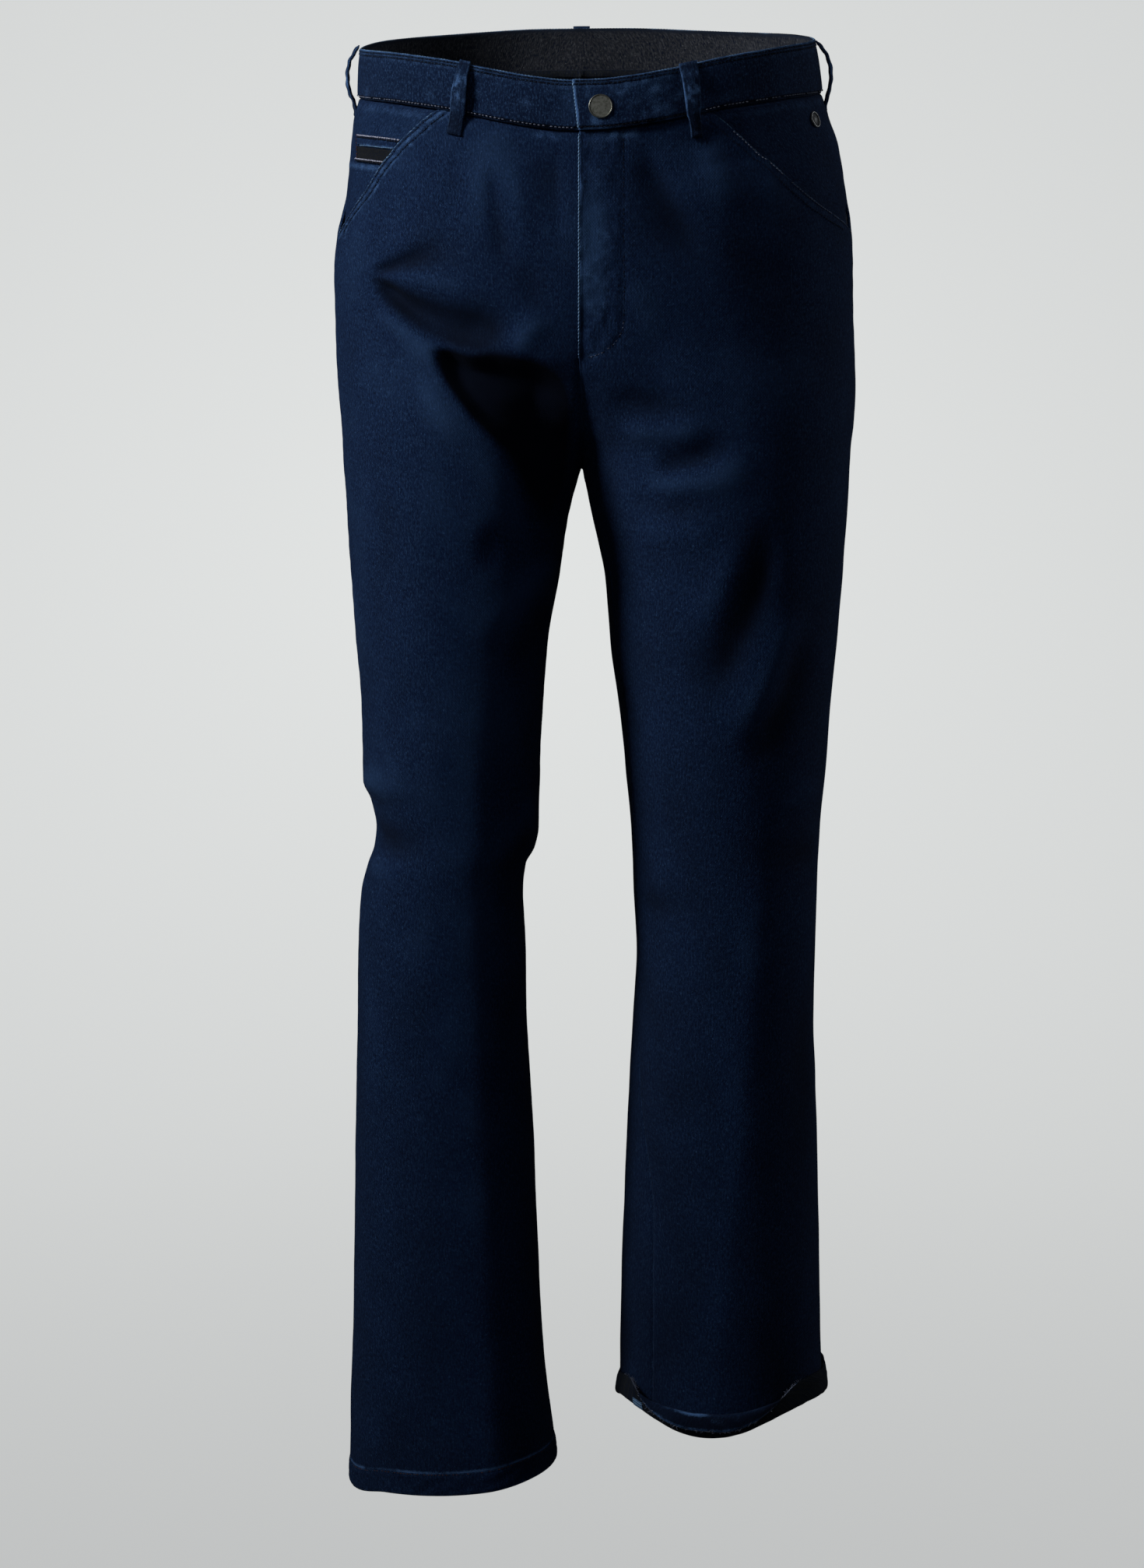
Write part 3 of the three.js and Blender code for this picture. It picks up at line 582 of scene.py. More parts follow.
def edgeRun(side, edge, height):
    # millimetres to one degree of turn at an edge, and how much longer its slant makes it
    degree = perDegree(side, edge(side, height), height)
    slant = (edge(side, height + 2) - edge(side, height - 2)) * degree / 4
    return degree, np.hypot(1, slant)


def fromEdge(side, turn, height, edge):
    # square distance on the cloth from an edge given as a turn by height
    degree, longer = edgeRun(side, edge, height)
    return np.abs(turn - edge(side, height)) * degree / longer


seams = {  # depth and width of the sunk line; size, pitch and reach of its gathers
    "side": {"line": (0.9, 1.3), "gathers": (0.22, 17, 8)},
    "inner": {"line": (1.0, 1.4), "gathers": (0.25, 14, 8)},
}


def pucker(along, distance, size, pitch, reach, seed):
    # short gathers square to a seam, strongest beside it
    wave = np.sin(2 * np.pi * along / pitch + 2.4 * softNoise(along / (2.6 * pitch), 0, seed))
    uneven = 0.65 + 0.35 * softNoise(along / (1.7 * pitch), 0.5, seed + 1)
    return size * wave * uneven * np.exp(-distance / reach)


def seamRelief(kind, distance, along, seed):
    depth, width = seams[kind]["line"]
    return pucker(along, distance, *seams[kind]["gathers"], seed) - depth * bell(distance, width)


def waistWear(top, across, seed):
    return 0.2 * bell(top - 4.5, 3) * smooth(-0.3, 0.6, softNoise(across / 14, 0, seed))


def underBand(top, across, seed):
    # the body cloth swells out below the seam of the waistband, and runs on behind it
    below = np.maximum(top, 0)
    swell = 0.7 * bell(below - 8, 6) + pucker(across, below, 0.34, 9, 9, seed) * smooth(0, 1, below)
    return -1.7 * smooth(1.6, 0.2, top) + swell


flyStitch = {
    "path": np.array([(27.6, -62), (27.7, -96), (27.8, -131), (28.3, -165), (28.3, -183), (27.3, -196),
                      (22, -204.5), (14, -210.5), (8, -212.8), (2.6, -214)], float),
    "groove": 0.55,
    "grooveWidth": 1.4,
    "curve": 165,           # of its 220 stitched points, where the foot begins to curve
}
pocketEdge = {
    "rows": (1.9, 6.3),     # the two stitched rows, from the folded edge
    "raise": 0.45,
    "groove": 0.4,
    "pucker": 0.42,
    "pitch": 4.4,
    "rubbed": {right: 1.0, left: 0.3},
    "edgeWear": {right: 0.34, left: 0.26},
}
hem = {"stitch": 15.6, "raise": 0.55, "groove": 0.55, "rope": 0.3, "pitch": 5.6}
mmPerDegree = 1.9           # about, round the body

# Rubbed patches of the fly and of the lapped end of the waistband
flyPatches = readTable("x z width height amount", [
    (10, -72, 6, 8, 0.34), (33, -64, 7, 5, 0.3), (20, -63, 5, 4, 0.16), (8, -98, 5, 9, 0.34),
    (13, -128, 8, 11, 0.16), (16, -152, 7, 12, 0.12), (6, -184, 4, 6, 0.2), (18, -178, 5, 6, 0.12),
    (46, -70, 6, 6, 0.12), (60, -66, 7, 5, 0.1), (10, -208, 5, 4, 0.14),
])
bandPatches = readTable("x z width height amount", [  # x from the lapped end, z down the band
    (56, -11, 8, 6, 0.30), (59, -27, 8, 5, 0.26), (32, -9, 7, 4, 0.24), (41, -20, 5, 4, 0.16),
    (14, -29, 5, 4, 0.18), (11, -9, 5, 5, 0.20), (78, -18, 7, 7, 0.16), (27, -30, 6, 3, 0.12),
    (92, -10, 6, 4, 0.12), (104, -26, 8, 4, 0.1),
])


def patchWear(table, x, z):
    total = np.zeros(np.broadcast(x, z).shape)
    for px, pz, width, height, amount in zip(*table.values()):
        total = total + amount * bell(x - px, width) * bell(z - pz, height)
    return total


def flyColumn(x, z):
    # handled part of the fly, down its edge
    return smooth(-84, -118, z) * smooth(-194, -172, z) * smooth(20, 8, x)


def frontDetail(side, turn, height):
    # lift and wear of a front: its edges, stitched lines and gathers
    point = skinPoint(side, turn, height)
    outer = fromEdge(side, turn, height, frontOuterTurn)
    inner = fromEdge(side, turn, height, frontInnerTurn)
    top = cut["panelTop"] - height
    across = turn * mmPerDegree
    x = point[..., 0]
    rubbed = pocketEdge["rubbed"][side]
    inPocket = smooth(cut["pocketFoot"] - 3, cut["pocketFoot"] + 6, height)
    # side seam, pocket mouth and its two stitched rows
    lift = (1 - inPocket) * seamRelief("side", outer, height, 21 + side)
    mouth = pocketEdge["raise"] * smooth(8, 6, outer) - 0.5 * bell(outer, 0.6)
    for row in pocketEdge["rows"]:
        mouth = mouth - rubbed * pocketEdge["groove"] * bell(outer - row, 0.75)
    middle = np.abs(outer - 4)
    mouth = mouth + rubbed * pucker(height, middle, pocketEdge["pucker"], pocketEdge["pitch"], 4, 31)
    lift = lift + inPocket * mouth
    bead = 0.65 + 0.6 * softNoise(height / 2.3, outer / 3, 27 + side)
    wear = 0.42 * bell(outer, 0.8)
    wear = wear + 0.4 * bell(outer - 4.1, 1.5) * bead
    wear = wear + 0.36 * bell(outer - 7.9, 1.0) * bead
    wear = wear * inPocket * rubbed
    wear = wear + (1 - inPocket) * 0.2 * bell(outer, 1.0)
    # waistband seam
    lift = lift + underBand(top, across, 41 + side)
    wear = wear + waistWear(top, across, 8)
    # centre seam below the fly, and the inseam
    below = smooth(cut["flyFoot"] + 4, cut["flyFoot"] - 3, height)
    lift = lift + below * seamRelief("inner", inner, height, 51 + side)
    wear = wear + below * 0.16 * bell(inner, 0.9)
    if side == left:
        fly = smooth(-245, cut["flyFoot"], height) * smooth(52, 12, x - cut["flyEdge"])
        lift = lift + cut["flyLift"] * fly
        stitch, share, _ = alongPath(flyStitch["path"], x, point[..., 2])
        lift = lift - flyStitch["groove"] * bell(stitch, flyStitch["grooveWidth"])
        inFly = smooth(cut["flyFoot"] - 4, cut["flyFoot"] + 8, height) * smooth(27, 22, x)
        rumple = softNoise(x / 6, height / 10, 61) + 0.6 * softNoise(x / 3.5, height / 5, 62)
        lift = lift + 0.5 * inFly * rumple
        lift = lift + (1 - below) * 0.35 * bell(inner - 0.9, 0.9)
        handled = (0.05 + 0.20 * smooth(-0.2, 1.0, rumple)) * smooth(-212, -150, height)
        wear = wear + 0.3 * inFly * handled * smooth(22, 12, x)
        gathers = softNoise(x / 3.4, height / 2.1, 63) + 0.4 * rumple
        wear = wear + inFly * flyColumn(x, height) * (0.04 + 0.12 * gathers)
        wear = wear + 0.62 * patchWear(flyPatches, x, point[..., 2]) * (0.8 + 0.5 * rumple)
        wear = wear + (1 - below) * 0.45 * bell(inner, 0.8) * smooth(-222, -190, height)
        wear = wear + 0.3 * bell(stitch, 1.2) * smooth(0.72, 0.85, share)
    if side == right:
        up = height - cut["rightHem"]
        lift = lift + hemShape(up, across, 71)
        wear = wear + hemWear(up, across)
    return lift, wear


def hemShape(up, across, seed):
    slope = np.sin(2 * np.pi * (across / hem["pitch"] + up / 13) + 2 * softNoise(across / 17, 0, seed))
    inBand = smooth(1, 4, up) * smooth(15, 12, up)
    return (
        hem["raise"] * smooth(hem["stitch"] + 1.6, hem["stitch"] - 1.2, up)
        - hem["groove"] * bell(up - hem["stitch"], 1.0)
        + hem["rope"] * slope * inBand
        - 0.9 * bell(up, 0.9)
    )


def hemWear(up, across):
    patchy = smooth(-0.9, 0.5, softNoise(across / 13, 0, 81) + 0.5 * softNoise(across / 4, 0, 82))
    above = 0.6 * bell(up - hem["stitch"] - 1.6, 1.0) * (0.35 + 0.65 * patchy)
    return above + 0.3 * bell(up, 1.1) + 0.06 * smooth(14, 2, up)


def backDetail(side, turn, height):
    outer = fromEdge(side, turn, height, backOuterTurn)
    inner = fromEdge(side, turn, height, backInnerTurn)
    top = cut["panelTop"] - height
    across = turn * mmPerDegree
    lift = seamRelief("side", outer, height, 22 + side) + seamRelief("inner", inner, height, 52 + side)
    lift = lift + underBand(top, across, 43 + side)
    wear = 0.2 * bell(outer, 1.0) + 0.16 * bell(inner, 0.9) + waistWear(top, across, 9)
    if side == right:
        up = height - cut["rightHem"]
        lift = lift + hemShape(up, across, 72)
        wear = wear + hemWear(up, across)
    return lift, wear


def frontPoint(side, turn, height, above):
    return clothPoint(side, turn, height, frontDetail(side, turn, height)[0], above)[0]


def backPoint(side, turn, height, above):
    return clothPoint(side, turn, height, backDetail(side, turn, height)[0], above)[0]


# Meshes


def gridFaces(rows, columns, looped):
    # quads between neighbouring points of a grid, row by row
    r, c = np.meshgrid(np.arange(rows - 1), np.arange(columns if looped else columns - 1), indexing="ij")
    r = r.ravel()
    c = c.ravel()
    following = (c + 1) % columns
    return np.stack([r * columns + c, (r + 1) * columns + c, (r + 1) * columns + following,
                     r * columns + following], 1)


def arcLengths(points, axis):
    step = np.linalg.norm(np.diff(points, axis=axis), axis=-1)
    total = np.cumsum(step, axis=axis)
    return np.concatenate([np.zeros_like(np.take(total, [0], axis)), total], axis)


def pathLength(points):
    # length of a path up to each of its points
    return np.concatenate([[0], np.cumsum(np.linalg.norm(np.diff(points, axis=0), axis=1))])


def pointsAt(at, length, points):
    # points of a path at the given lengths along it
    return np.stack([np.interp(at, length, points[:, k]) for k in range(points.shape[1])], -1)


def grainOf(points, plumb):
    # weave coordinates: across from the middle column or a plumb line at x, and down from the top row
    across = arcLengths(points, 1)
    if plumb is None:
        start = across[:, [points.shape[1] // 2]]
    else:
        order = np.sign(points[0, -1, 0] - points[0, 0, 0])
        start = [[np.interp(order * plumb, order * row[:, 0], length)]
                 for row, length in zip(points, across)]
    down = arcLengths(points, 0)
    return np.stack([across - np.array(start), 0.5 * down + 0.5 * (points[:1, :, 2] - points[..., 2])], -1)


def newPiece(name, points, faces, materials, grain=None, slots=None, floats=None):
    faces = faces if isinstance(faces, list) else faces.tolist()
    corners = np.array([face[:3] for face in faces] + [[f[0], f[2], f[3]] for f in faces if len(f) == 4])
    a, b, c = (points[corners[:, i]] for i in range(3))
    if np.einsum("ij,ij->i", a - points[0], np.cross(b - points[0], c - points[0])).sum() < 0:
        faces = [face[::-1] for face in faces]  # every face looks out of the piece
    mesh = bpy.data.meshes.new(name)
    mesh.from_pydata((points * mm).tolist(), [], faces)
    for material in materials:
        mesh.materials.append(material)
    if slots is not None:
        mesh.polygons.foreach_set("material_index", np.asarray(slots, np.int32))
    mesh.polygons.foreach_set("use_smooth", np.ones(len(mesh.polygons), bool))
    if grain is not None:
        corner = np.empty(len(mesh.loops), np.int32)
        mesh.loops.foreach_get("vertex_index", corner)
        layer = mesh.uv_layers.new(name="grain")
        layer.data.foreach_set("uv", (grain[corner] * mm).astype(np.float32).ravel())
    for key, values in (floats or {}).items():
        attribute = mesh.attributes.new(key, "FLOAT", "POINT")
        attribute.data.foreach_set("value", values.astype(np.float32))
    mesh.validate()
    piece = bpy.data.objects.new(name, mesh)
    bpy.context.collection.objects.link(piece)
    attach(piece, "root")
    return piece


def capFaces(rings, around):
    # faces that close the first and last ring of a strip
    return [list(range(around)), [(rings - 1) * around + i for i in reversed(range(around))]]


def clothSheet(name, outside, inside, wear, fade, materials, looped=False, plumb=None):
    # closed sheet between two grids, its two faces finished in two materials
    rows, columns = wear.shape
    half = rows * columns
    outer = gridFaces(rows, columns, looped)
    top = np.arange(columns if looped else columns - 1)
    nextTop = (top + 1) % columns
    last = half - columns
    rim = [
        np.stack([top, nextTop, nextTop + half, top + half], 1),
        np.stack([top + last, top + last + half, nextTop + last + half, nextTop + last], 1),
    ]
    if not looped:
        begin = np.arange(rows - 1) * columns
        finish = begin + columns - 1
        rim.append(np.stack([begin, begin + half, begin + columns + half, begin + columns], 1))
        rim.append(np.stack([finish, finish + columns, finish + columns + half, finish + half], 1))
    rim = np.concatenate(rim)
    faces = np.concatenate([outer, (outer + half)[:, ::-1], rim])
    slots = np.repeat([0, 1, 0], [len(outer), len(outer), len(rim)])
    grain = grainOf(outside, plumb).reshape(-1, 2)
    return newPiece(
        name,
        np.concatenate([outside.reshape(-1, 3), inside.reshape(-1, 3)]),
        faces,
        materials,
        grain=np.concatenate([grain, grain]),
        slots=slots,
        floats={
            "wear": np.concatenate([wear.ravel(), np.zeros(half)]),
            "fade": np.concatenate([fade.ravel(), np.zeros(half)]),
        },
    )


def tubeAlong(name, rings, materials, wear, fade=0.0, grainAcross=False):
    # closed strip from a list of rings of points, capped at both ends
    count, around = rings.shape[:2]
    faces = gridFaces(count, around, True).tolist() + capFaces(count, around)
    across = arcLengths(rings, 1)
    lengthwise = arcLengths(rings, 0)
    if grainAcross:
        lengthwise = lengthwise.mean(1, keepdims=True) + 0 * lengthwise
    floats = {
        "wear": np.broadcast_to(wear, across.shape).ravel(),
        "fade": np.broadcast_to(fade, across.shape).ravel(),
    }
    grain = np.stack([lengthwise, across] if grainAcross else [across, lengthwise], -1).reshape(-1, 2)
    return newPiece(name, rings.reshape(-1, 3), faces, materials, grain=grain, floats=floats)


def stitchRows(name, rows, material):
    # rows of short raised threads, all one piece: each row is (points, outward, sizes),
    # and each stitch is five rings of six corners with two faces to close each end
    places = np.array([0, 0.14, 0.5, 0.86, 1])  # along one stitch
    rise = np.array([-0.5, 0.35, 0.7, 0.35, -0.5])
    girth = np.array([0.45, 0.95, 1.0, 0.95, 0.45])
    corners = np.arange(6) * np.pi / 3
    caps = [[0, 1, 2, 3], [0, 3, 4, 5], [27, 26, 25, 24], [29, 28, 27, 24]]
    stitchFaces = np.concatenate([gridFaces(len(places), len(corners), True), caps])
    perStitch = len(places) * len(corners)
    allPoints, allFaces, allGrain = [], [], []
    used = 0
    for points, outward, sizes in rows:
        length = pathLength(points)
        pitch = sizes["pitch"]
        random = np.random.default_rng(sizes["seed"])
        count = int(length[-1] / pitch)
        if count < 1:
            continue
        start = (np.arange(count) + 0.5 * (1 - sizes["share"]) + sizes.get("offset", 0)) * pitch
        start = start + random.uniform(-0.12, 0.12, count) * pitch
        keep = random.uniform(0, 1, count) >= sizes.get("missing", 0)
        at = start[keep][:, None] + places * pitch * sizes["share"]
        centre = pointsAt(at, length, points)
        out = pointsAt(at, length, outward)
        out /= np.linalg.norm(out, axis=-1, keepdims=True)
        run = centre[:, -1] - centre[:, 0]
        run = (run / np.linalg.norm(run, axis=-1, keepdims=True))[:, None, :]
        aside = np.cross(np.broadcast_to(run, out.shape), out)
        slant = random.uniform(-1, 1, len(at))[:, None, None] * 0.08 + sizes.get("twist", 0)
        centre = centre + aside * slant * (places - 0.5)[None, :, None] * pitch
        centre = centre + out * (rise * sizes["radius"])[None, :, None]
        thick = (girth * sizes["radius"])[None, :, None, None]
        ring = (
            centre[:, :, None, :]
            + out[:, :, None, :] * np.sin(corners)[None, None, :, None] * thick
            + aside[:, :, None, :] * np.cos(corners)[None, None, :, None] * thick
        )
        allPoints.append(ring.reshape(-1, 3))
        firsts = used + np.arange(len(at)) * perStitch
        allFaces.append((stitchFaces[None] + firsts[:, None, None]).reshape(-1, 4))
        used += len(at) * perStitch
        grain = [np.broadcast_to(corners, ring.shape[:3]), np.broadcast_to(at[:, :, None], ring.shape[:3])]
        allGrain.append(np.stack(grain, -1).reshape(-1, 2))
    return newPiece(name, np.concatenate(allPoints), np.concatenate(allFaces), [material],
                    grain=np.concatenate(allGrain))


def foldedEdge(name, line, radius, wear, rope, ropePitch=2.2, corners=10):
    # thin roll along a turned cloth edge, with slanting ridges where the thread twists it
    points, outward = line
    tangent = np.gradient(points, axis=0)
    aside = np.cross(tangent / np.linalg.norm(tangent, axis=-1, keepdims=True), outward)
    angle = np.arange(corners) * 2 * np.pi / corners
    length = pathLength(points)
    twist = np.sin(2 * np.pi * length[:, None] / ropePitch + angle[None, :])
    ends = smooth(0, 1.5, length) * smooth(length[-1], length[-1] - 1.5, length)
    size = radius * (0.25 + 0.75 * ends)[:, None] * (1 + rope * twist)
    rings = (
        points[:, None, :]
        + aside[:, None, :] * (np.cos(angle) * size)[..., None]
        + outward[:, None, :] * (np.sin(angle) * size)[..., None]
    )
    return tubeAlong(name, rings, [looks["foldEdge"]], np.array(wear)[..., None] * (0.62 + 0.55 * twist))


def clothLine(function, side, turns, heights, above):
    # a path on the cloth and the directions out of it
    return function(side, turns, heights, above), skinNormal(side, turns, heights)


# Materials


def put(tree, kind, sockets=None, **settings):
    node = tree.nodes.new(kind)
    for name, value in settings.items():
        setattr(node, name, value)
    for name, value in (sockets or {}).items():
        if isinstance(value, bpy.types.NodeSocket):
            tree.links.new(value, node.inputs[name])
        else:
            node.inputs[name].default_value = value
    return node


def newGroup(name, inputs, outputs):
    tree = bpy.data.node_groups.new(name, "ShaderNodeTree")
    for socketName, kind, default in inputs:
        socket = tree.interface.new_socket(socketName, in_out="INPUT", socket_type="NodeSocket" + kind)
        if default is not None:
            socket.default_value = default
    for socketName, kind in outputs:
        tree.interface.new_socket(socketName, in_out="OUTPUT", socket_type="NodeSocket" + kind)
    return tree, put(tree, "NodeGroupInput").outputs, put(tree, "NodeGroupOutput").inputs


def calc(tree, operation, a, b=None, clamp=False):
    sockets = {0: a} if b is None else {0: a, 1: b}
    return put(tree, "ShaderNodeMath", sockets, operation=operation, use_clamp=clamp).outputs[0]


def addUp(tree, first, *others):
    for other in others:
        first = calc(tree, "ADD", first, other)
    return first


def times(tree, a, b, clamp=False):
    return calc(tree, "MULTIPLY", a, b, clamp=clamp)


def mixColor(tree, factor, a, b):
    return put(tree, "ShaderNodeMix", {0: factor, 6: a, 7: b}, data_type="RGBA").outputs[2]


def inUnits(tree, place, size):
    # a place counted in lengths of size millimetres
    scale = calc(tree, "DIVIDE", 1000.0, size)
    return put(tree, "ShaderNodeVectorMath", {0: place, "Scale": scale}, operation="SCALE").outputs[0]


def stretched(tree, vector, scale, detail, offset=(0, 0, 0), rough=0.5):
    # noise in grain coordinates, longer one way than the other
    placed = put(tree, "ShaderNodeMapping", {"Vector": vector, "Scale": scale, "Location": offset})
    noise = put(tree, "ShaderNodeTexNoise", {"Vector": placed.outputs[0], "Scale": 1.0, "Detail": detail,
                                             "Roughness": rough})
    return noise.outputs["Fac"]


def between(tree, value, low, high, newLow=0.0, newHigh=1.0):
    node = put(tree, "ShaderNodeMapRange", {"Value": value, "From Min": low, "From Max": high,
                                            "To Min": newLow, "To Max": newHigh},
               interpolation_type="SMOOTHSTEP")
    return node.outputs[0]


def twillGroup():
    tree, given, result = newGroup("twillWeave", [
        ("Grain", "Vector", None),
        ("Warp", "Color", (0.01, 0.02, 0.05, 1)),
        ("Weft", "Color", (0.1, 0.15, 0.2, 1)),
        ("Pitch", "Float", 0.9),
        ("Flecks", "Float", 0.5),
        ("Streaks", "Float", 0.5),
    ], [("Color", "Color"), ("Height", "Float")])
    threads = inUnits(tree, given["Grain"], given["Pitch"])
    parts = put(tree, "ShaderNodeSeparateXYZ", {0: threads}).outputs
    slope = addUp(tree, parts["X"], times(tree, parts["Y"], 0.5))
    diagonal = calc(tree, "SINE", times(tree, slope, 2 * math.pi))
    slub = stretched(tree, threads, (0.75, 0.13, 1), 2.0)
    fine = stretched(tree, threads, (0.85, 0.42, 1), 2.0, (7, 3, 0), 0.6)
    dots = stretched(tree, threads, (0.8, 0.62, 1), 1.0, (3, 5, 2))
    fleck = between(tree, fine, 0.50, 0.72)
    tiny = between(tree, dots, 0.66, 0.76)
    streak = between(tree, slub, 0.46, 0.74)
    line = between(tree, diagonal, -0.3, 1.0)
    strongFlecks = times(tree, given["Flecks"], 2.2)
    amount = addUp(
        tree,
        times(tree, fleck, given["Flecks"]),
        times(tree, tiny, strongFlecks),
        times(tree, streak, given["Streaks"]),
    )
    amount = calc(tree, "ADD", amount, times(tree, line, 0.05), clamp=True)
    deep = mixColor(tree, between(tree, fine, 0.30, 0.52), (0.0022, 0.0062, 0.021, 1), given["Warp"])
    height = addUp(tree, times(tree, diagonal, 0.22), slub, times(tree, fine, 0.8))
    tree.links.new(mixColor(tree, amount, deep, given["Weft"]), result["Color"])
    tree.links.new(height, result["Height"])
    return tree


def wornGroup():
    # where an edge has lost its colour: the wear painted on the piece, broken up by the threads
    tree, given, result = newGroup("wornEdge", [
        ("Wear", "Float", 0.0),
        ("Grain", "Vector", None),
        ("Size", "Float", 1.0),
    ], [("Mask", "Float")])
    spot = inUnits(tree, given["Grain"], given["Size"])
    grit = stretched(tree, spot, (1.0, 0.8, 1), 3.0, (4, 1, 0), 0.7)
    patch = stretched(tree, spot, (0.16, 0.12, 1), 2.0, (2, 8, 0))
    broken = addUp(tree, times(tree, grit, 0.9), times(tree, patch, 0.5))
    level = addUp(tree, given["Wear"], calc(tree, "SUBTRACT", broken, 0.72))
    mask = between(tree, level, 0.0, 0.75)
    tree.links.new(times(tree, mask, between(tree, given["Wear"], 0.0, 0.12)), result["Mask"])
    return tree


def unevenGroup():
    # slow change of shade over a hand's width
    tree, given, result = newGroup("unevenDye", [
        ("Grain", "Vector", None),
        ("Size", "Float", 30.0),
        ("Amount", "Float", 0.2),
    ], [("Factor", "Float")])
    spot = inUnits(tree, given["Grain"], given["Size"])
    cloud = stretched(tree, spot, (1.0, 0.6, 1), 3.0, (6, 2, 0))
    tree.links.new(times(tree, calc(tree, "SUBTRACT", cloud, 0.5), given["Amount"]), result["Factor"])
    return tree


def tarnishGroup():
    tree, given, result = newGroup("tarnish", [
        ("Size", "Float", 1.5),
        ("Amount", "Float", 0.4),
    ], [("Mask", "Float"), ("Scratch", "Float")])
    spot = inUnits(tree, put(tree, "ShaderNodeTexCoord").outputs["Object"], given["Size"])
    cloud = stretched(tree, spot, (1, 1, 1), 4.0)
    tree.links.new(times(tree, between(tree, cloud, 0.4, 0.7), given["Amount"]), result["Mask"])
    tree.links.new(stretched(tree, spot, (0.6, 9, 9), 2.0), result["Scratch"])
    return tree


groups = {"twill": twillGroup(), "worn": wornGroup(), "uneven": unevenGroup(), "tarnish": tarnishGroup()}


def putGroup(tree, group, sockets):
    return put(tree, "ShaderNodeGroup", sockets, node_tree=groups[group]).outputs


def newMaterial(name):
    material = bpy.data.materials.new(name)
    material.use_nodes = True
    tree = material.node_tree
    tree.nodes.clear()
    shader = put(tree, "ShaderNodeBsdfPrincipled")
    put(tree, "ShaderNodeOutputMaterial", {"Surface": shader.outputs[0]}, location=(300, 0))
    return material, tree, shader.inputs


def linkBump(tree, shader, height, strength, distance):
    bump = put(tree, "ShaderNodeBump", {"Height": height, "Strength": strength, "Distance": distance})
    tree.links.new(bump.outputs[0], shader["Normal"])


def grainCoordinates(tree):
    return put(tree, "ShaderNodeUVMap", uv_map="grain").outputs[0]


def painted(tree, name):
    # a value stored at the points of the piece
    return put(tree, "ShaderNodeAttribute", attribute_name=name).outputs["Fac"]


denimLook = {
    "warp": (0.0042, 0.0145, 0.0500, 1),
    "weft": (0.031, 0.077, 0.180, 1),
    "worn": (0.066, 0.150, 0.335, 1),
    "pitch": 1.0,
    "flecks": 0.34,
    "streaks": 0.18,
    "rough": (0.96, 0.84),  # between the threads and on top of them
    "sheen": 0.015,
    "bump": 0.6,
}


def clothMaterial(name, **changes):
    look = dict(denimLook, **changes)
    material, tree, shader = newMaterial(name)
    grain = grainCoordinates(tree)
    weave = putGroup(tree, "twill", {
        "Grain": grain,
        "Warp": look["warp"],
        "Weft": look["weft"],
        "Pitch": look["pitch"],
        "Flecks": look["flecks"],
        "Streaks": look["streaks"],
    })
    cloud = putGroup(tree, "uneven", {"Grain": grain, "Size": 34.0, "Amount": 0.5})
    # the fade attribute holds real fading together with painted shade in folds, the hollow, grooves and
    # further down the legs; below zero it darkens the cloth towards near-black
    shade = addUp(tree, cloud["Factor"], times(tree, painted(tree, "fade"), 0.34))
    lighter = mixColor(tree, calc(tree, "MAXIMUM", shade, 0.0), weave["Color"], look["weft"])
    deepened = times(tree, calc(tree, "MINIMUM", shade, 0.0), -1.6, clamp=True)
    darker = mixColor(tree, deepened, lighter, (0.0015, 0.004, 0.012, 1))
    mask = putGroup(tree, "worn", {"Wear": painted(tree, "wear"), "Grain": grain, "Size": 0.9})["Mask"]
    tree.links.new(mixColor(tree, mask, darker, look["worn"]), shader["Base Color"])
    tree.links.new(between(tree, weave["Height"], 0.2, 1.6, *look["rough"]), shader["Roughness"])
    linkBump(tree, shader, weave["Height"], look["bump"], 0.00045)
    shader["Specular IOR Level"].default_value = 0.08
    shader["Sheen Weight"].default_value = look["sheen"]
    shader["Sheen Roughness"].default_value = 0.5
    shader["Sheen Tint"].default_value = (0.45, 0.6, 0.85, 1)
    return material


def threadMaterial(name, color, light):
    material, tree, shader = newMaterial(name)
    twist = stretched(tree, grainCoordinates(tree), (500, 1600, 1), 2.0)
    tree.links.new(mixColor(tree, between(tree, twist, 0.4, 0.65), color, light), shader["Base Color"])
    tree.links.new(between(tree, twist, 0.3, 0.7, 0.75, 0.6), shader["Roughness"])
    linkBump(tree, shader, twist, 0.4, 0.0001)
    shader["Specular IOR Level"].default_value = 0.12
    return material


def metalMaterial(name, color, dark, rough):
    material, tree, shader = newMaterial(name)
    dirt = putGroup(tree, "tarnish", {"Size": 1.6, "Amount": 0.6})
    dull = calc(tree, "ADD", times(tree, dirt["Mask"], 0.7), painted(tree, "recess"), clamp=True)
    tree.links.new(mixColor(tree, dull, color, dark), shader["Base Color"])
    tree.links.new(between(tree, dull, 0.0, 1.0, rough, rough + 0.25), shader["Roughness"])
    linkBump(tree, shader, dirt["Scratch"], 0.12, 0.0001)
    shader["Metallic"].default_value = 1.0
    return material


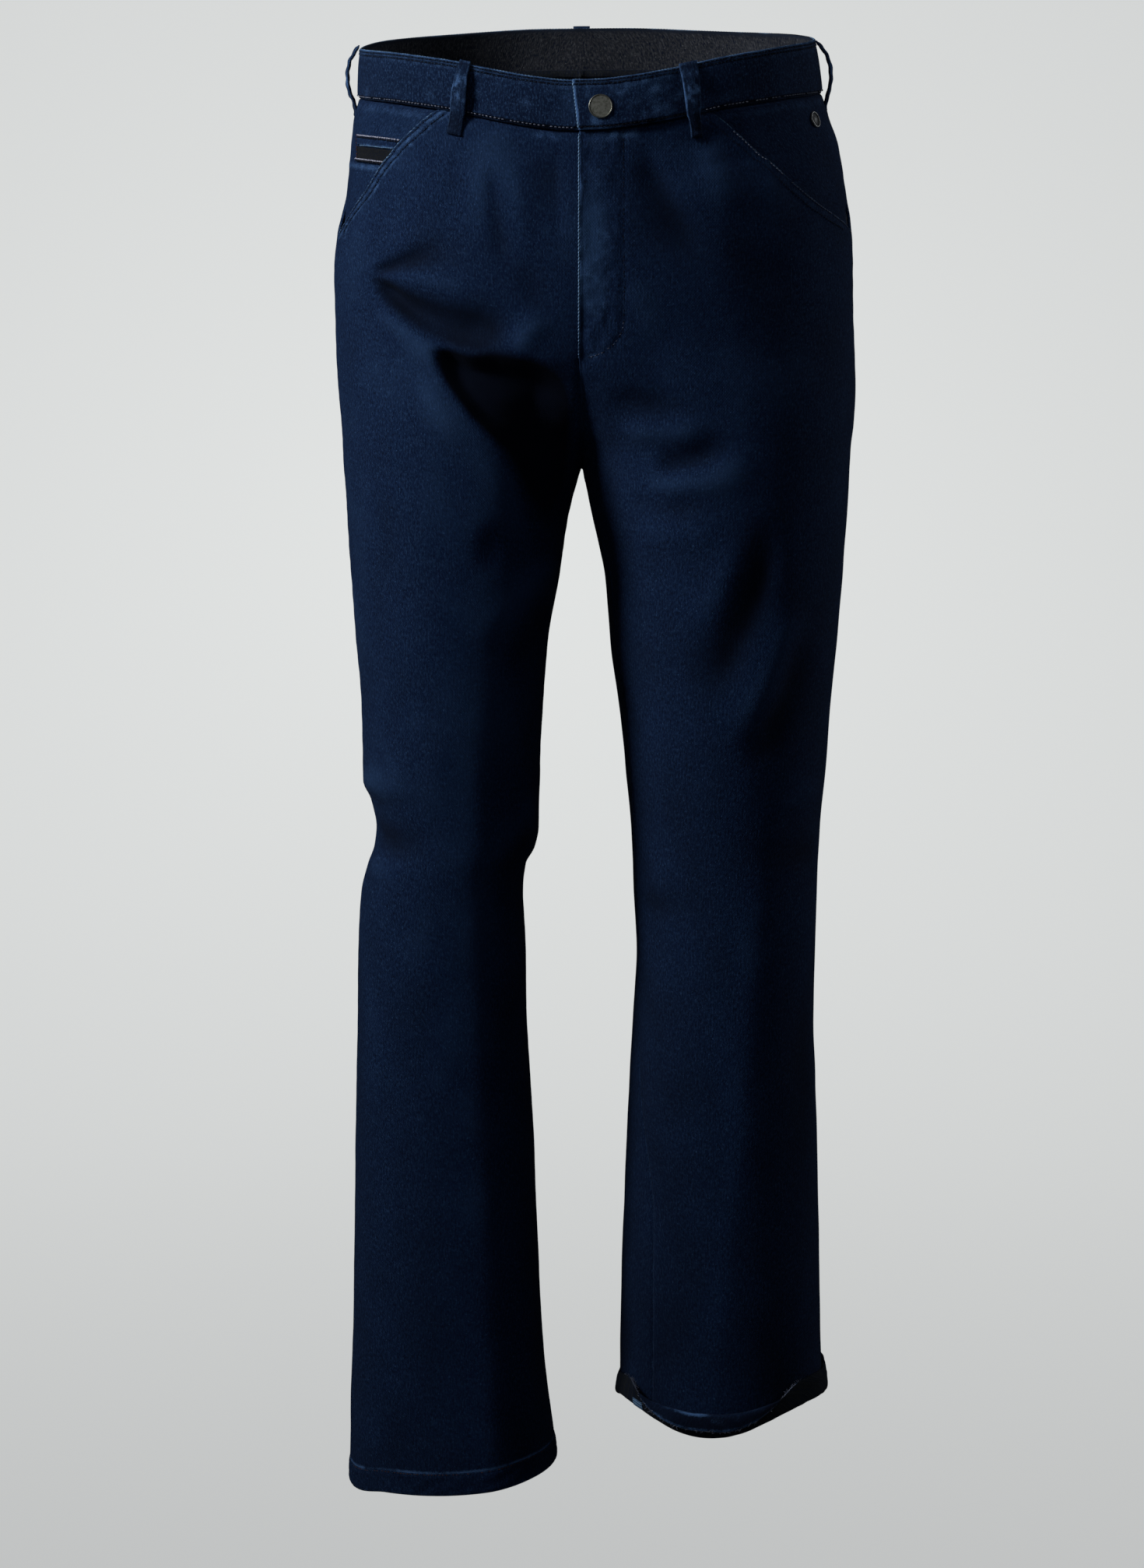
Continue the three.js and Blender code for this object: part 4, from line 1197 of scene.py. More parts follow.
looks = {
    "denim": clothMaterial("indigo denim"),
    "band": clothMaterial("indigo denim, waistband", warp=(0.0036, 0.0116, 0.0400, 1), flecks=0.56),
    "loop": clothMaterial("indigo denim, belt loops", warp=(0.0040, 0.0110, 0.034, 1), flecks=0.42),
    "reverse": clothMaterial(
        "denim reverse",
        warp=(0.0075, 0.0095, 0.0125, 1),
        weft=(0.040, 0.048, 0.058, 1),
        worn=(0.16, 0.2, 0.25, 1),
        flecks=0.3,
        streaks=0.12,
    ),
    "bandInside": clothMaterial(
        "waistband inside",
        warp=(0.022, 0.025, 0.032, 1),
        weft=(0.10, 0.108, 0.125, 1),
        worn=(0.012, 0.018, 0.032, 1),
        flecks=0.5,
        streaks=0.3,
    ),
    "coinBand": clothMaterial(
        "plain dark band",
        warp=(0.0080, 0.0095, 0.0115, 1),
        weft=(0.030, 0.032, 0.032, 1),
        worn=(0.06, 0.06, 0.055, 1),
        pitch=0.6,
        flecks=0.2,
        streaks=0.1,
    ),
    "foldEdge": clothMaterial(
        "worn folded edge",
        warp=(0.012, 0.034, 0.090, 1),
        weft=(0.06, 0.125, 0.25, 1),
        worn=(0.19, 0.34, 0.54, 1),
        flecks=0.6,
    ),
    "puff": clothMaterial(
        "raised cloth between stitches",
        warp=(0.012, 0.032, 0.080, 1),
        weft=(0.06, 0.12, 0.22, 1),
        flecks=0.5,
    ),
    "darkThread": threadMaterial("navy thread", (0.0028, 0.0042, 0.0095, 1), (0.007, 0.010, 0.019, 1)),
    "greyThread": threadMaterial("grey thread", (0.10, 0.12, 0.18, 1), (0.24, 0.265, 0.35, 1)),
    "paleThread": threadMaterial("lavender white thread", (0.24, 0.26, 0.36, 1), (0.50, 0.52, 0.62, 1)),
    "rustThread": threadMaterial("rust thread", (0.05, 0.020, 0.015, 1), (0.12, 0.05, 0.035, 1)),
    "button": metalMaterial("antique nickel", (0.27, 0.275, 0.245, 1), (0.085, 0.088, 0.072, 1), 0.38),
    "rivet": metalMaterial("dark nickel", (0.30, 0.31, 0.31, 1), (0.03, 0.032, 0.034, 1), 0.4),
}
print("materials made,", len(looks))


# Fronts and backs


def rowHeights(stops):
    # heights between stops, each stretch with its own spacing
    heights = []
    for (upper, spacing), (lower, _) in zip(stops[:-1], stops[1:]):
        count = max(1, round((upper - lower) / spacing))
        heights.extend(np.linspace(upper, lower, count, endpoint=False))
    return np.array(heights + [stops[-1][0]])


# Rows of the panels: from each height down, the spacing of the rows
panelRows = {
    right: [(cut["underBandTop"], 4), (-33.6, 0.8), (-42, 2.5), (-130, 1.8), (-256, 2.9),
            (-640, 4.2), (cut["rightHem"] + 22, 1.0), (cut["rightHem"], 1)],
    left: [(cut["underBandTop"], 4), (-33.6, 0.8), (-42, 2.6), (-640, 3.8), (cut["leftFold"] + 6, 1)],
}
facingRows = [(cut["underBandTop"], 4), (-33.6, 0.8), (-42, 1.5), (-132, 1)]


def panelTurns(side, heights, startTurn, endTurn, count):
    # columns close together beside both edges, and only the last ones follow the crotch's sharp bend
    share = np.linspace(0, 1, count)
    eased = (share - 0.66 * np.sin(2 * np.pi * share) / (2 * np.pi))[None, :]
    start = startTurn(side, heights)[:, None]
    end = endTurn(side, heights)[:, None]
    settled = np.mean([endTurn(side, heights + step) for step in (-70, -35, 0, 35, 70)], axis=0)[:, None]
    return start + (settled - start) * eased + (end - settled) * eased ** 5


# painted shade: the legs darken further down, where less of the light reaches
paintedLegShade = {
    right: readTable("z shade", [(-500, 0), (-640, -0.25), (-900, -0.5), (-1031, -0.6)]),
    left: readTable("z shade", [(-250, 0), (-360, -0.3), (-560, -0.4), (-700, -0.65), (-972, -0.9)]),
}


def clothFaces(side, turns, level, lift, wall):
    # outer and inner grid of a piece of cloth, and the height of its folds
    outside, fold = clothPoint(side, turns, level, lift)
    return outside, outside - skinNormal(side, turns, level) * wall, fold


def clothPanel(name, side, startTurn, endTurn, detail, columns, nodeName):
    heights = rowHeights(panelRows[side])
    turns = panelTurns(side, heights, startTurn, endTurn, columns)
    level = np.broadcast_to(heights[:, None], turns.shape)
    lift, wear = detail(side, turns, level)
    outside, inside, fold = clothFaces(side, turns, level, lift, cut["wall"])
    # fold height sets the colour: real fading on the ridges, painted shade in the troughs; painted shade
    # also darkens the legs further down and the hollow beside the fly foot
    fade = np.clip(fold / cloth["foldForShade"], -1.5, 1.0) + blend(paintedLegShade[side], "z", level, "shade")
    if side == right:
        fade = fade + cloth["hollowShade"] * hollowHeight(outside)
    else:
        x, y, z = (outside[..., k] for k in range(3))
        fade = fade + cloth["flyShade"] * flyColumn(x, z) * smooth(-20, -80, y)
    finish = [looks["denim"], looks["reverse"]]
    piece = clothSheet(name, outside, inside, wear, fade, finish, plumb=side * legMiddle)
    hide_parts(nodeName)
    return piece


legMiddle = 88              # the grain hangs plumb here
frontColumns = {right: 114, left: 100}
backColumns = 92
panelCuts = {}
for side, label in sideNames.items():
    panelCuts[f"front_{label}"] = (side, frontOuterTurn, frontInnerTurn, frontDetail, frontColumns[side])
    panelCuts[f"back_{label}"] = (side, backOuterTurn, backInnerTurn, backDetail, backColumns)
panels = {name: clothPanel(f"{name}_cloth", *parts, name) for name, parts in panelCuts.items()}
print("fronts and backs made")


# Pocket facings

facing = {"depth": 2.2, "tuck": 5.0, "columns": 46}

# Coin pocket on the right facing: a welt with a worn upper lip over a plain dark band
coinPocket = {
    "outerX": 156.2,
    "mouthGap": 0.9,
    "welt": {"top": -57, "foot": -64.3, "wall": 1.2, "fray": 1.0},
    "band": {"top": -65.6, "foot": -75, "wall": 0.7, "fray": 0.0},
    "rows": ((-58.1, 19.3, 42), (-74.2, 19.8, 36.8)),  # height, first and last turn
}


def facingLift(side, height, turn):
    mouth = mouthTurn(side, height)
    seam = sideTurn(side, height)
    oneMm = degreesFor(side, height, 1)
    slant = (mouthTurn(side, height + 2) - mouthTurn(side, height - 2)) / (4 * oneMm)
    square = 1 / np.hypot(1, slant)
    fromMouth = square * (mouth - turn) / oneMm
    width = square * (mouth - seam) / oneMm
    risen = smooth(2, np.maximum(0.9 * width, 14), fromMouth)
    return -facing["depth"] * (1 - risen * smooth(cut["pocketFoot"] + 4, cut["pocketFoot"] + 26, height))


def facingSeam(side, height):
    return sideTurn(side, height) + degreesFor(side, height, cut["seamGap"] / 2)


def facingDetail(side, turn, height):
    outer = fromEdge(side, turn, height, facingSeam)
    mouth = fromEdge(side, turn, height, mouthTurn)
    top = cut["panelTop"] - height
    across = turn * mmPerDegree
    lift = facingLift(side, height, turn) + seamRelief("side", outer, height, 25 + side)
    lift = lift + underBand(top, across, 45 + side)
    lift = lift - 1.9 * bell(height + 117, 9)
    lift = lift + 0.35 * softNoise(across / 16, height / 22, 91 + side)
    wear = 0.2 * bell(outer, 1.0) + 0.14 * bell(top - 5, 3)
    if side == right:  # lighter, gathered cloth under the coin pocket
        wear = wear + 0.34 * bell(height + 79.2, 2.2) * smooth(44, 30, turn)
        lift = lift + 0.35 * bell(height + 80, 3.5) * np.sin(across * 2 * np.pi / 4.6)
    return lift, wear - 0.1 * bell(mouth, 2.0)


def pocketFacing(side):
    label = sideNames[side]
    heights = rowHeights(facingRows)
    share = np.linspace(0, 1, facing["columns"])
    eased = (share - 0.5 * np.sin(2 * np.pi * share) / (2 * np.pi))[None, :]
    start = facingSeam(side, heights)[:, None]
    end = mouthTurn(side, heights)[:, None] + facing["tuck"]
    turns = start + (end - start) * eased
    level = np.broadcast_to(heights[:, None], turns.shape)
    lift, wear = facingDetail(side, turns, level)
    outside, inside, fold = clothFaces(side, turns, level, lift, cut["wall"])
    finish = [looks["denim"], looks["reverse"]]
    piece = clothSheet(f"pocket_facing_{label}_cloth", outside, inside, wear, fold * 0, finish)
    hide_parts(f"pocket_facing_{label}")
    return piece


facings = {f"pocket_facing_{label}": pocketFacing(side) for side, label in sideNames.items()}
print("pocket facings made")


def coinStrip(name, strip, material, nodeName):
    foot = strip["foot"]
    heights = np.linspace(strip["top"], foot, 15)
    outer = turnAt(right, heights, coinPocket["outerX"])[:, None]
    inner = (mouthTurn(right, heights) - degreesFor(right, heights, coinPocket["mouthGap"]))[:, None]
    turns = outer + (inner - outer) * np.linspace(0, 1, 42)[None, :]
    level = np.broadcast_to(heights[:, None], turns.shape)
    edge = np.minimum(strip["top"] - level, level - foot)
    ripple = 0.12 * softNoise(turns * 0.9, level / 3, 17)
    lift = facingLift(right, level, turns) + strip["wall"] + 0.55 - 0.5 * bell(edge, 0.6) + ripple
    outside, inside, fold = clothFaces(right, turns, level, lift, strip["wall"])
    wear = strip["fray"] * bell(level - foot, 0.9) * (0.6 + 0.4 * softNoise(turns * 1.3, 0, 18))
    piece = clothSheet(name, outside, inside, wear, fold * 0, [material, looks["reverse"]])
    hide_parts(nodeName)
    return piece


coinWelt = coinStrip("coin_pocket_welt_cloth", coinPocket["welt"], looks["denim"],
                     "coin_pocket_welt")
coinBand = coinStrip("coin_pocket_band_cloth", coinPocket["band"], looks["coinBand"],
                     "coin_pocket_band")
print("coin pocket made")


# Waistband: a doubled strip, swept as one ring of points from its under end to its lapped end

band = {
    "height": 34,
    "wall": 3.0,
    "underlap": 28,
    "snug": 1.5,            # how far the band sinks into the body cloth over the hips
    "topRows": (-1.6, -3.8),
    "lowRow": -32.3,
    "steps": {"underlap": 12, "right": 250, "left": 200, "lap": 46},
    "groove": 0.35,
    "puff": 0.35,
    "pucker": 0.28,
    "puckerPitch": 8.5,
}


bandMiddle = -band["height"] / 2
lapLift = band["wall"] + 0.3


def bandStations():
    start = float(turnAt(left, bandMiddle, band["underlap"]))
    end = float(turnAt(left, bandMiddle, cut["flyEdge"] - 2.6))
    stretches = {"underlap": (left, start, 90), "right": (right, 90, -90), "left": (left, -90, 60),
                 "lap": (left, 60, end)}
    stations = []
    for name, (side, first, last) in stretches.items():
        for turn in np.linspace(first, last, band["steps"][name], endpoint=False):
            lift = lapLift * float(smooth(62, 79, turn)) if name == "lap" else 0
            stations.append((side, turn, lift))
    stations.append((left, end, lapLift))
    return stations


def bandPoints(stations, heights, outs):
    # points for every station, with the given heights and distances out; both may vary by station
    result = np.zeros((len(stations), heights.shape[-1], 3))
    heights = np.broadcast_to(heights, result.shape[:2])
    outs = np.broadcast_to(outs, result.shape[:2])
    table = np.array(stations)
    for side in (right, left):
        chosen = table[:, 0] == side
        turn = table[chosen, 1][:, None]
        lapped = table[chosen, 2][:, None]
        distance = side * skinPoint(side, turn, bandMiddle)[..., 0]
        height = heights[chosen]
        if side == left:  # a little taller over the left hip
            height = height + 3.4 * (1 + height / band["height"]) * bell(turn, 36)
        slant = 0.12 * (height - bandMiddle) * smooth(86, 90.5, turn) * (lapped > 1)
        square = turnAt(side, height, distance - slant)
        turns = np.where(turn > 85, square, turn)
        sideways = smooth(80, 50, np.abs(turn))
        lift = outs[chosen] + lapped + band["wall"] / 2 - band["snug"] * sideways
        point = skinPoint(side, turns, height)
        result[chosen] = point + skinNormal(side, turns, height) * lift[..., None]
    return result


def bandLine(stations, height, out):
    # a path round the band and the directions out of it
    points, low, high = (bandPoints(stations, np.array([height]), np.array([distance]))[:, 0]
                         for distance in (out, -1.0, 1.0))
    outward = high - low
    return points, outward / np.linalg.norm(outward, axis=-1, keepdims=True)


def bandRing():
    # cross-section: distance out from the middle of the band, and height, outside first
    wall = band["wall"] / 2
    outside = [(0.2, -0.02), (0.75, -0.13), (1.25, -0.4), (1.45, -0.8)]
    heights = np.concatenate([np.arange(-1.2, -5.4, -0.42), np.arange(-6.2, -30.5, -1.7),
                              np.arange(-30.8, -33.4, -0.45)])
    outside += [(wall, h) for h in heights]
    outside += [(1.25, -33.6), (0.85, -33.9), (0.2, -34.0)]
    inside = [(-0.8, -33.9), (-1.4, -33.4)] + [(-wall, h) for h in np.arange(-32.5, -1.8, 2.0)]
    inside += [(-1.35, -0.8), (-0.9, -0.25)]
    return np.array(outside), np.array(inside), len(outside)


def waistband():
    stations = bandStations()
    outside, inside, count = bandRing()
    ring = np.concatenate([outside, inside])
    length = pathLength(bandLine(stations, 0.0, 0.0)[0])[:, None]
    height = np.broadcast_to(ring[:, 1], (len(stations), len(ring))).copy()
    out = np.broadcast_to(ring[:, 0], height.shape).copy()
    isOut = np.arange(len(ring)) < count
    fromEnd = length[-1] - length
    relief = band["puff"] * np.sin(np.pi * np.clip((-height - 5) / 26, 0, 1))
    for row in (*band["topRows"], band["lowRow"]):
        relief = relief - band["groove"] * bell(height - row, 0.55)
    relief = relief + 0.16 * bell(height + 2.7, 0.8) - 1.2 * smooth(-30.8, -33.6, height)
    relief = relief + pucker(length, height + 34, band["pucker"], band["puckerPitch"], 9, 101)
    relief = relief + pucker(length, -height, 0.2, 6.1, 5, 103)
    relief = relief + 0.4 * softNoise(length / 19, height / 13, 105) * smooth(0, -6, height)
    hand = smooth(95, 60, fromEnd) * smooth(4, 12, fromEnd)  # handled cloth round the buttonhole
    relief = relief + 0.3 * hand * softNoise(length / 6, height / 5, 107)
    out = out + relief * isOut
    height = height + 0.25 * softNoise(length / 11, 0, 109) * bell(height, 2.5)
    rings = bandPoints(stations, height, out)
    speckle = softNoise(length / 5, height / 4, 111)
    wear = 0.5 * bell(height, 1.0) + 0.18 * bell(height + 2.7, 0.7) + 0.16 * bell(height + 5.4, 1.2)
    wear = wear + 0.1 * bell(height + 33.6, 0.9)
    wear = wear + hand * 0.1 * smooth(-0.1, 0.9, speckle)
    wear = wear + patchWear(bandPatches, fromEnd, height) * (0.85 + 0.4 * speckle)
    wear = wear + 0.7 * bell(fromEnd, 1.0)
    wear = wear + 0.45 * bell(height + 33.7, 0.9) * smooth(52, 6, fromEnd)
    wear = wear + 0.12 * smooth(0.1, 0.9, softNoise(length / 17, height / 9, 113))
    wear = np.where(isOut, wear, 0.9 * bell(height, 2.2))
    # painted shade darkens the cloth in the grooves of the stitched rows and along the foot of the band
    paintedGrooveShade = sum(bell(height - row, 0.6) for row in (*band["topRows"], band["lowRow"] + 0.2))
    paintedGrooveShade = -0.85 * isOut * paintedGrooveShade - 0.5 * isOut * smooth(-32.2, -33.4, height)
    finish = [looks["band"], looks["bandInside"]]
    piece = tubeAlong("waistband_cloth", rings, finish, wear, paintedGrooveShade / 0.34, grainAcross=True)
    slots = np.tile(np.where(np.arange(len(ring)) < count - 1, 0, 1), len(stations) - 1)
    slots = np.concatenate([slots, [0, 0]])
    piece.data.polygons.foreach_set("material_index", slots.astype(np.int32))
    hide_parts("waistband")
    return piece, stations


def nodeCentre(name):
    low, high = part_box(name)
    return (np.array(low) + np.array(high)) / 2 / mm


def buttonAxis():
    height = -19.0
    turn = turnAt(left, height, 12.0)
    axis = skinNormal(left, turn, height)
    return np.array(axis, float).reshape(3), nodeCentre("button")


def standingOn(spot, axis):
    # matrix that stands a piece made along +Z on a spot, in metres
    turn = mathutils.Vector(axis).to_track_quat("Z", "Y").to_matrix().to_4x4()
    return mathutils.Matrix.Translation(mathutils.Vector(spot * mm)) @ turn


waistbandPiece, stations = waistband()
print("waistband made")


# Belt loops

loop = {"width": 12, "wall": 2.4, "rows": 3.6}
loopPaths = {  # distance out and height, from the foot up
    "flat": [(1.4, -50), (1.6, -43.5), (3.3, -37), (4.8, -29),
             (5.3, -18), (4.6, -8), (3.2, -1.5), (2.9, 2)],
    "bowed": [(-1.0, -47.5), (0.4, -43), (4.6, -36), (8.2, -28),
              (9.4, -18), (8.0, -8.5), (4.2, -2), (2.0, 2)],
}


def evenPath(rows, count):
    # the same path with its points at even steps
    rows = np.array(rows, float)
    length = pathLength(rows)
    return pointsAt(np.linspace(0, length[-1], count), length, rows)


def roundedPath(rows, count):
    out = evenPath(rows, count)
    for _ in range(3 * count // 20):
        out[1:-1] = (out[:-2] + 2 * out[1:-1] + out[2:]) / 4
    return out


def beltLoop(label, side, placing, pathName, seed, turnIn, slant=0.0, lift=0.0, taper=(1, 1)):
    # turnIn is how far its folded edges twist, taper its width at the head and the foot
    path = roundedPath(loopPaths[pathName], 72)
    path[:, 0] += lift * smooth(-44, -20, path[:, 1]) * smooth(2, -14, path[:, 1])
    path[:, 1] += 0.5 * lift * smooth(-42, -50, path[:, 1])
    run = np.gradient(path, axis=0)
    run = run / np.linalg.norm(run, axis=1, keepdims=True)
    length = np.linspace(0, 1, len(path))
    half = loop["width"] / 2
    wall = loop["wall"] / 2
    angle = np.linspace(0, 2 * np.pi, 44, endpoint=False)
    # flat strip with rounded sides
    across = half * np.sign(np.cos(angle)) * np.abs(np.cos(angle)) ** 0.35
    thick = wall * np.sign(np.sin(angle)) * np.abs(np.sin(angle)) ** 0.6
    outer = np.sin(angle) >= 0
    groove = sum(bell(across - row, 0.6) for row in (-loop["rows"], loop["rows"]))
    thick = thick - outer * 0.28 * groove + outer * 0.3 * np.cos(np.pi * across / loop["width"])
    squeeze = 1 - 0.08 * turnIn * np.sin(np.pi * length)
    squeeze = squeeze - (1 - taper[0]) * smooth(0.45, 1, length)
    squeeze = (squeeze - (1 - taper[1]) * smooth(0.55, 0.1, length))[:, None]
    acrossAll = across[None, :] * squeeze
    rumple = 0.3 * softNoise(length[:, None] * 9, acrossAll / 4, seed)
    twist = np.sin(2 * np.pi * (length[:, None] * 6.5) + angle[None, :])
    thickAll = thick[None, :] * (1 + 0.16 * (turnIn - 0.4) * twist) + rumple * outer
    ends = smooth(0, 0.045, length) * smooth(1, 0.955, length)
    thickAll = thickAll * (0.35 + 0.65 * ends)[:, None]
    out = path[:, 0:1] + thickAll * run[:, 1:2]
    height = path[:, 1:2] - thickAll * run[:, 0:1]
    turns = placing(height, acrossAll + slant * (height + 22) / 22)
    point = skinPoint(side, turns, height)
    rings = point + skinNormal(side, turns, height) * out[..., None]
    speckle = softNoise(length[:, None] * 17, acrossAll / 2.2, seed + 1)
    middle = bell(length - 0.62, 0.24)[:, None]
    edges = bell(np.abs(acrossAll) - half * squeeze, 0.8)
    wear = outer * (0.34 * edges + 0.52 * middle * smooth(-0.4, 0.9, speckle))
    wear = wear * (0.5 + 0.5 * np.sin(np.pi * length)[:, None]) + 0.2 * bell(length - 1, 0.04)[:, None]
    # painted shade darkens the lower third and the head of each loop, where it bends in to the band; the
    # very foot is a little lighter
    fade = -0.9 * smooth(0.36, 0.2, length) - 0.5 * smooth(0.86, 0.95, length)
    fade = fade + 0.25 * bell(length - 0.05, 0.03)
    piece = tubeAlong(f"belt_loop_{label}_cloth", rings, [looks["loop"]], wear, fade[:, None])
    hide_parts(f"belt_loop_{label}")
    return piece


def loopAt(side, turn):
    degree = perDegree(side, turn, -20.0)
    return lambda height, across: turn + across / degree


def loopOnBackSeam(height, across):
    return turnAt(right, height, across, False)


loops = [
    beltLoop("front_right", right, loopAt(right, 59.4), "flat", 201, 1.0, 2.5, 2.2, (0.66, 0.9)),
    beltLoop("front_left", left, loopAt(left, 64.5), "flat", 203, 1.0, 0.8, 1.6, (1.1, 0.68)),
    beltLoop("side_right", right, loopAt(right, 2), "bowed", 205, 1.6),
    beltLoop("side_left", left, loopAt(left, 2), "bowed", 207, 1.2),
    beltLoop("back", right, loopOnBackSeam, "flat", 209, 0.4),
]
print("belt loops made")


# Turned-up hem of the left leg: its cross-section at the sides, where it stands against
# the leg, and at the front, where the edge has rolled over and hangs outwards

cuffShape = readTable("sideOut sideUp frontOut frontUp", [
    (-0.75, 5.5, -0.75, 5.5),
    (-0.6, 2.2, -0.2, 1.6),
    (1.4, -0.6, 3.5, -1.8),
    (3.6, 0.4, 8.0, -0.2),
    (4.2, 3.2, 12.0, 5.6),
    (3.7, 7.0, 16.0, 13.4),
    (3.1, 10.6, 20.0, 19.6),
    (2.5, 13.0, 24.5, 21.4),
    (2.0, 15, 27.6, 17.4),
    (1.5, 16.6, 29.0, 10.0),
])
cuff = {
    "flopCentre": 98,
    "flopSpread": 54,
    "sectors": 300,
    "steps": 46,
    "wall": 1.3,
    "ridge": 0.78,
    "allowance": {"turns": (133, 142), "rows": slice(17, 26)},
}


def cuffGrid(shift):
    turn = np.linspace(0, 360, cuff["sectors"], endpoint=False)
    away = np.abs((turn - cuff["flopCentre"] + 540) % 360 - 180)
    flop = smooth(cuff["flopSpread"], 8, away)[None, :]
    profiles = [roundedPath(np.stack([cuffShape[face + "Out"], cuffShape[face + "Up"]], 1), cuff["steps"])
                for face in ("side", "front")]
    share = np.linspace(0, 1, cuff["steps"])[:, None]
    out, up = (profiles[0][:, k:k + 1] + (profiles[1][:, k:k + 1] - profiles[0][:, k:k + 1]) * flop
               for k in (0, 1))
    uneven = softNoise(turn / 7, 0, 301)[None, :]
    slow = softNoise(turn / 26, 0, 303)[None, :]
    out = out + share ** 2 * (0.35 * uneven + 0.9 * slow)
    up = up + smooth(0.25, 1, share) * (0.35 * uneven + 1.1 * slow)
    inner = bell(turn - 188, 30)[None, :]  # narrower and closer to the leg on the inner side
    out = out - 2.4 * inner * smooth(0, 0.3, share)
    up = up - 3.2 * inner * share
    runOut = np.gradient(out, axis=0)
    runUp = np.gradient(up, axis=0)
    length = np.hypot(runOut, runUp)
    wave = 0.22 * softNoise(turn[None, :] / 4, share * 9, 305)
    out = out - (shift + wave) * runUp / length
    up = up + (shift + wave) * runOut / length
    base = skinPoint(left, turn, cut["leftFold"])
    outward = skinNormal(left, turn, cut["leftFold"]).copy()
    outward[:, 2] = 0
    outward /= np.linalg.norm(outward, axis=1, keepdims=True)
    points = base[None] + outward[None] * out[..., None]
    points[..., 2] += up
    return points, turn, share, flop


def turnedUpHem(faceSide, wrongSide, turn, share, flop):
    ridge = bell(share - cuff["ridge"], 0.03) * smooth(0.4, 0.8, flop)
    patchy = (bell(turn - 105, 7) + 0.22 * smooth(-0.3, 0.7, softNoise(turn / 5, 0, 311)))[None, :]
    wear = 0.6 * ridge * patchy + 0.1 * smooth(0.1, 0.9, softNoise(turn[None, :] / 4, share * 7, 313))
    wear = wear + 0.35 * bell(share - 1, 0.03)
    shaded = -1.5 * smooth(0.25, 0.6, share) * (1 - 0.5 * ridge) + 0 * wear
    finish = [looks["denim"], looks["reverse"]]
    piece = clothSheet("cuff_left_cloth", faceSide, wrongSide, wear, shaded, finish, looped=True)
    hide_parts("cuff_left")
    return piece


def allowanceEnd(turn):
    # the end of the inseam's allowance, folded up with the hem
    first, last = cuff["allowance"]["turns"]
    columns = (turn >= first) & (turn <= last)
    outside, inside = (cuffGrid(-cuff["wall"] / 2 - away)[0][cuff["allowance"]["rows"]][:, columns]
                       for away in (0.6, 0.1))
    down = np.linspace(0, 1, outside.shape[0])[:, None]
    wear = 0.45 + 0.45 * np.sin(down * 3 * 2 * np.pi) + 0 * outside[..., 0]
    finish = [looks["foldEdge"], looks["reverse"]]
    piece = clothSheet("inseam_allowance_end", outside, inside, wear, wear * 0, finish)
    return piece


faceSide, cuffTurn, cuffShare, cuffFlop = cuffGrid(cuff["wall"] / 2)
wrongSide = cuffGrid(-cuff["wall"] / 2)[0]
cuffPiece = turnedUpHem(faceSide, wrongSide, cuffTurn, cuffShare, cuffFlop)
allowancePiece = allowanceEnd(cuffTurn)
print("turned-up hem made")


# Button and rivet


def onLathe(name, profile, sectors, centre, axis, material):
    # turned metal piece; its profile has radius, height and how dark the metal sits
    radius, height, recess = np.array(profile, float).T[:, :, None]
    angle = np.linspace(0, 2 * np.pi, sectors, endpoint=False)
    points = np.stack([radius * np.cos(angle), radius * np.sin(angle), height + 0 * angle], -1)
    matrix = np.array(standingOn(centre, axis))
    world = points.reshape(-1, 3) @ matrix[:3, :3].T + centre
    faces = gridFaces(len(profile), sectors, True).tolist() + capFaces(len(profile), sectors)
    floats = {"recess": (recess + 0 * angle).ravel()}
    return newPiece(name, world, faces, [material], floats=floats)


# Profiles from the axis out and back: radius, height, and how dark the metal sits
buttonLook = {
    "radius": 8.15,
    "sectors": 96,
    "low": -3.0,            # foot of the shank from the middle of the button
    "profile": [
        (0.05, 0, 0.6), (2.3, 0, 0.6), (2.3, 3.2, 0.9), (7.4, 3.2, 0.9), (8.2, 3.7, 0.4), (8.5, 4.4, 0),
        (8.5, 5.1, 0), (8.36, 5.5, 0), (8.1, 5.72, 0), (7.85, 5.7, 0.1), (7.7, 5.5, 0.55), (7.55, 5.34, 0.7),
        (7.2, 5.3, 0.36), (5.0, 5.38, 0.3), (2.5, 5.42, 0.3), (0.05, 5.43, 0.3),
    ],
}
rivetLook = {
    "height": -50.0,
    "turn": 24.0,
    "sectors": 64,
    "profile": [
        (0.05, -0.8, 1), (5.5, -0.8, 0.7), (5.8, -0.3, 0.3), (5.75, 0.3, 0), (5.45, 0.74, 0),
        (5.05, 0.8, 0.1), (4.7, 0.55, 0.5), (4.45, 0.2, 1), (3.6, 0.1, 1), (2.6, 0.22, 0.85),
        (2.0, 0.42, 0.7), (1.2, 0.52, 0.6), (0.05, 0.55, 0.6),
    ],
}


def button():
    axis, centre = buttonAxis()
    widest = max(radius for radius, up, recess in buttonLook["profile"])
    profile = [(radius * buttonLook["radius"] / widest, up + buttonLook["low"], recess)
               for radius, up, recess in buttonLook["profile"]]
    piece = onLathe("button_nickel", profile, buttonLook["sectors"], centre, axis, looks["button"])
    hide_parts("button")


def pocketRivet():
    axis = skinNormal(left, rivetLook["turn"], rivetLook["height"]).reshape(3)
    piece = onLathe("pocket_rivet_nickel", rivetLook["profile"], rivetLook["sectors"],
                    nodeCentre("pocket_rivet"), axis, looks["rivet"])
    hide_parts("pocket_rivet")


button()
pocketRivet()
print("button and rivet made")


# Stitching

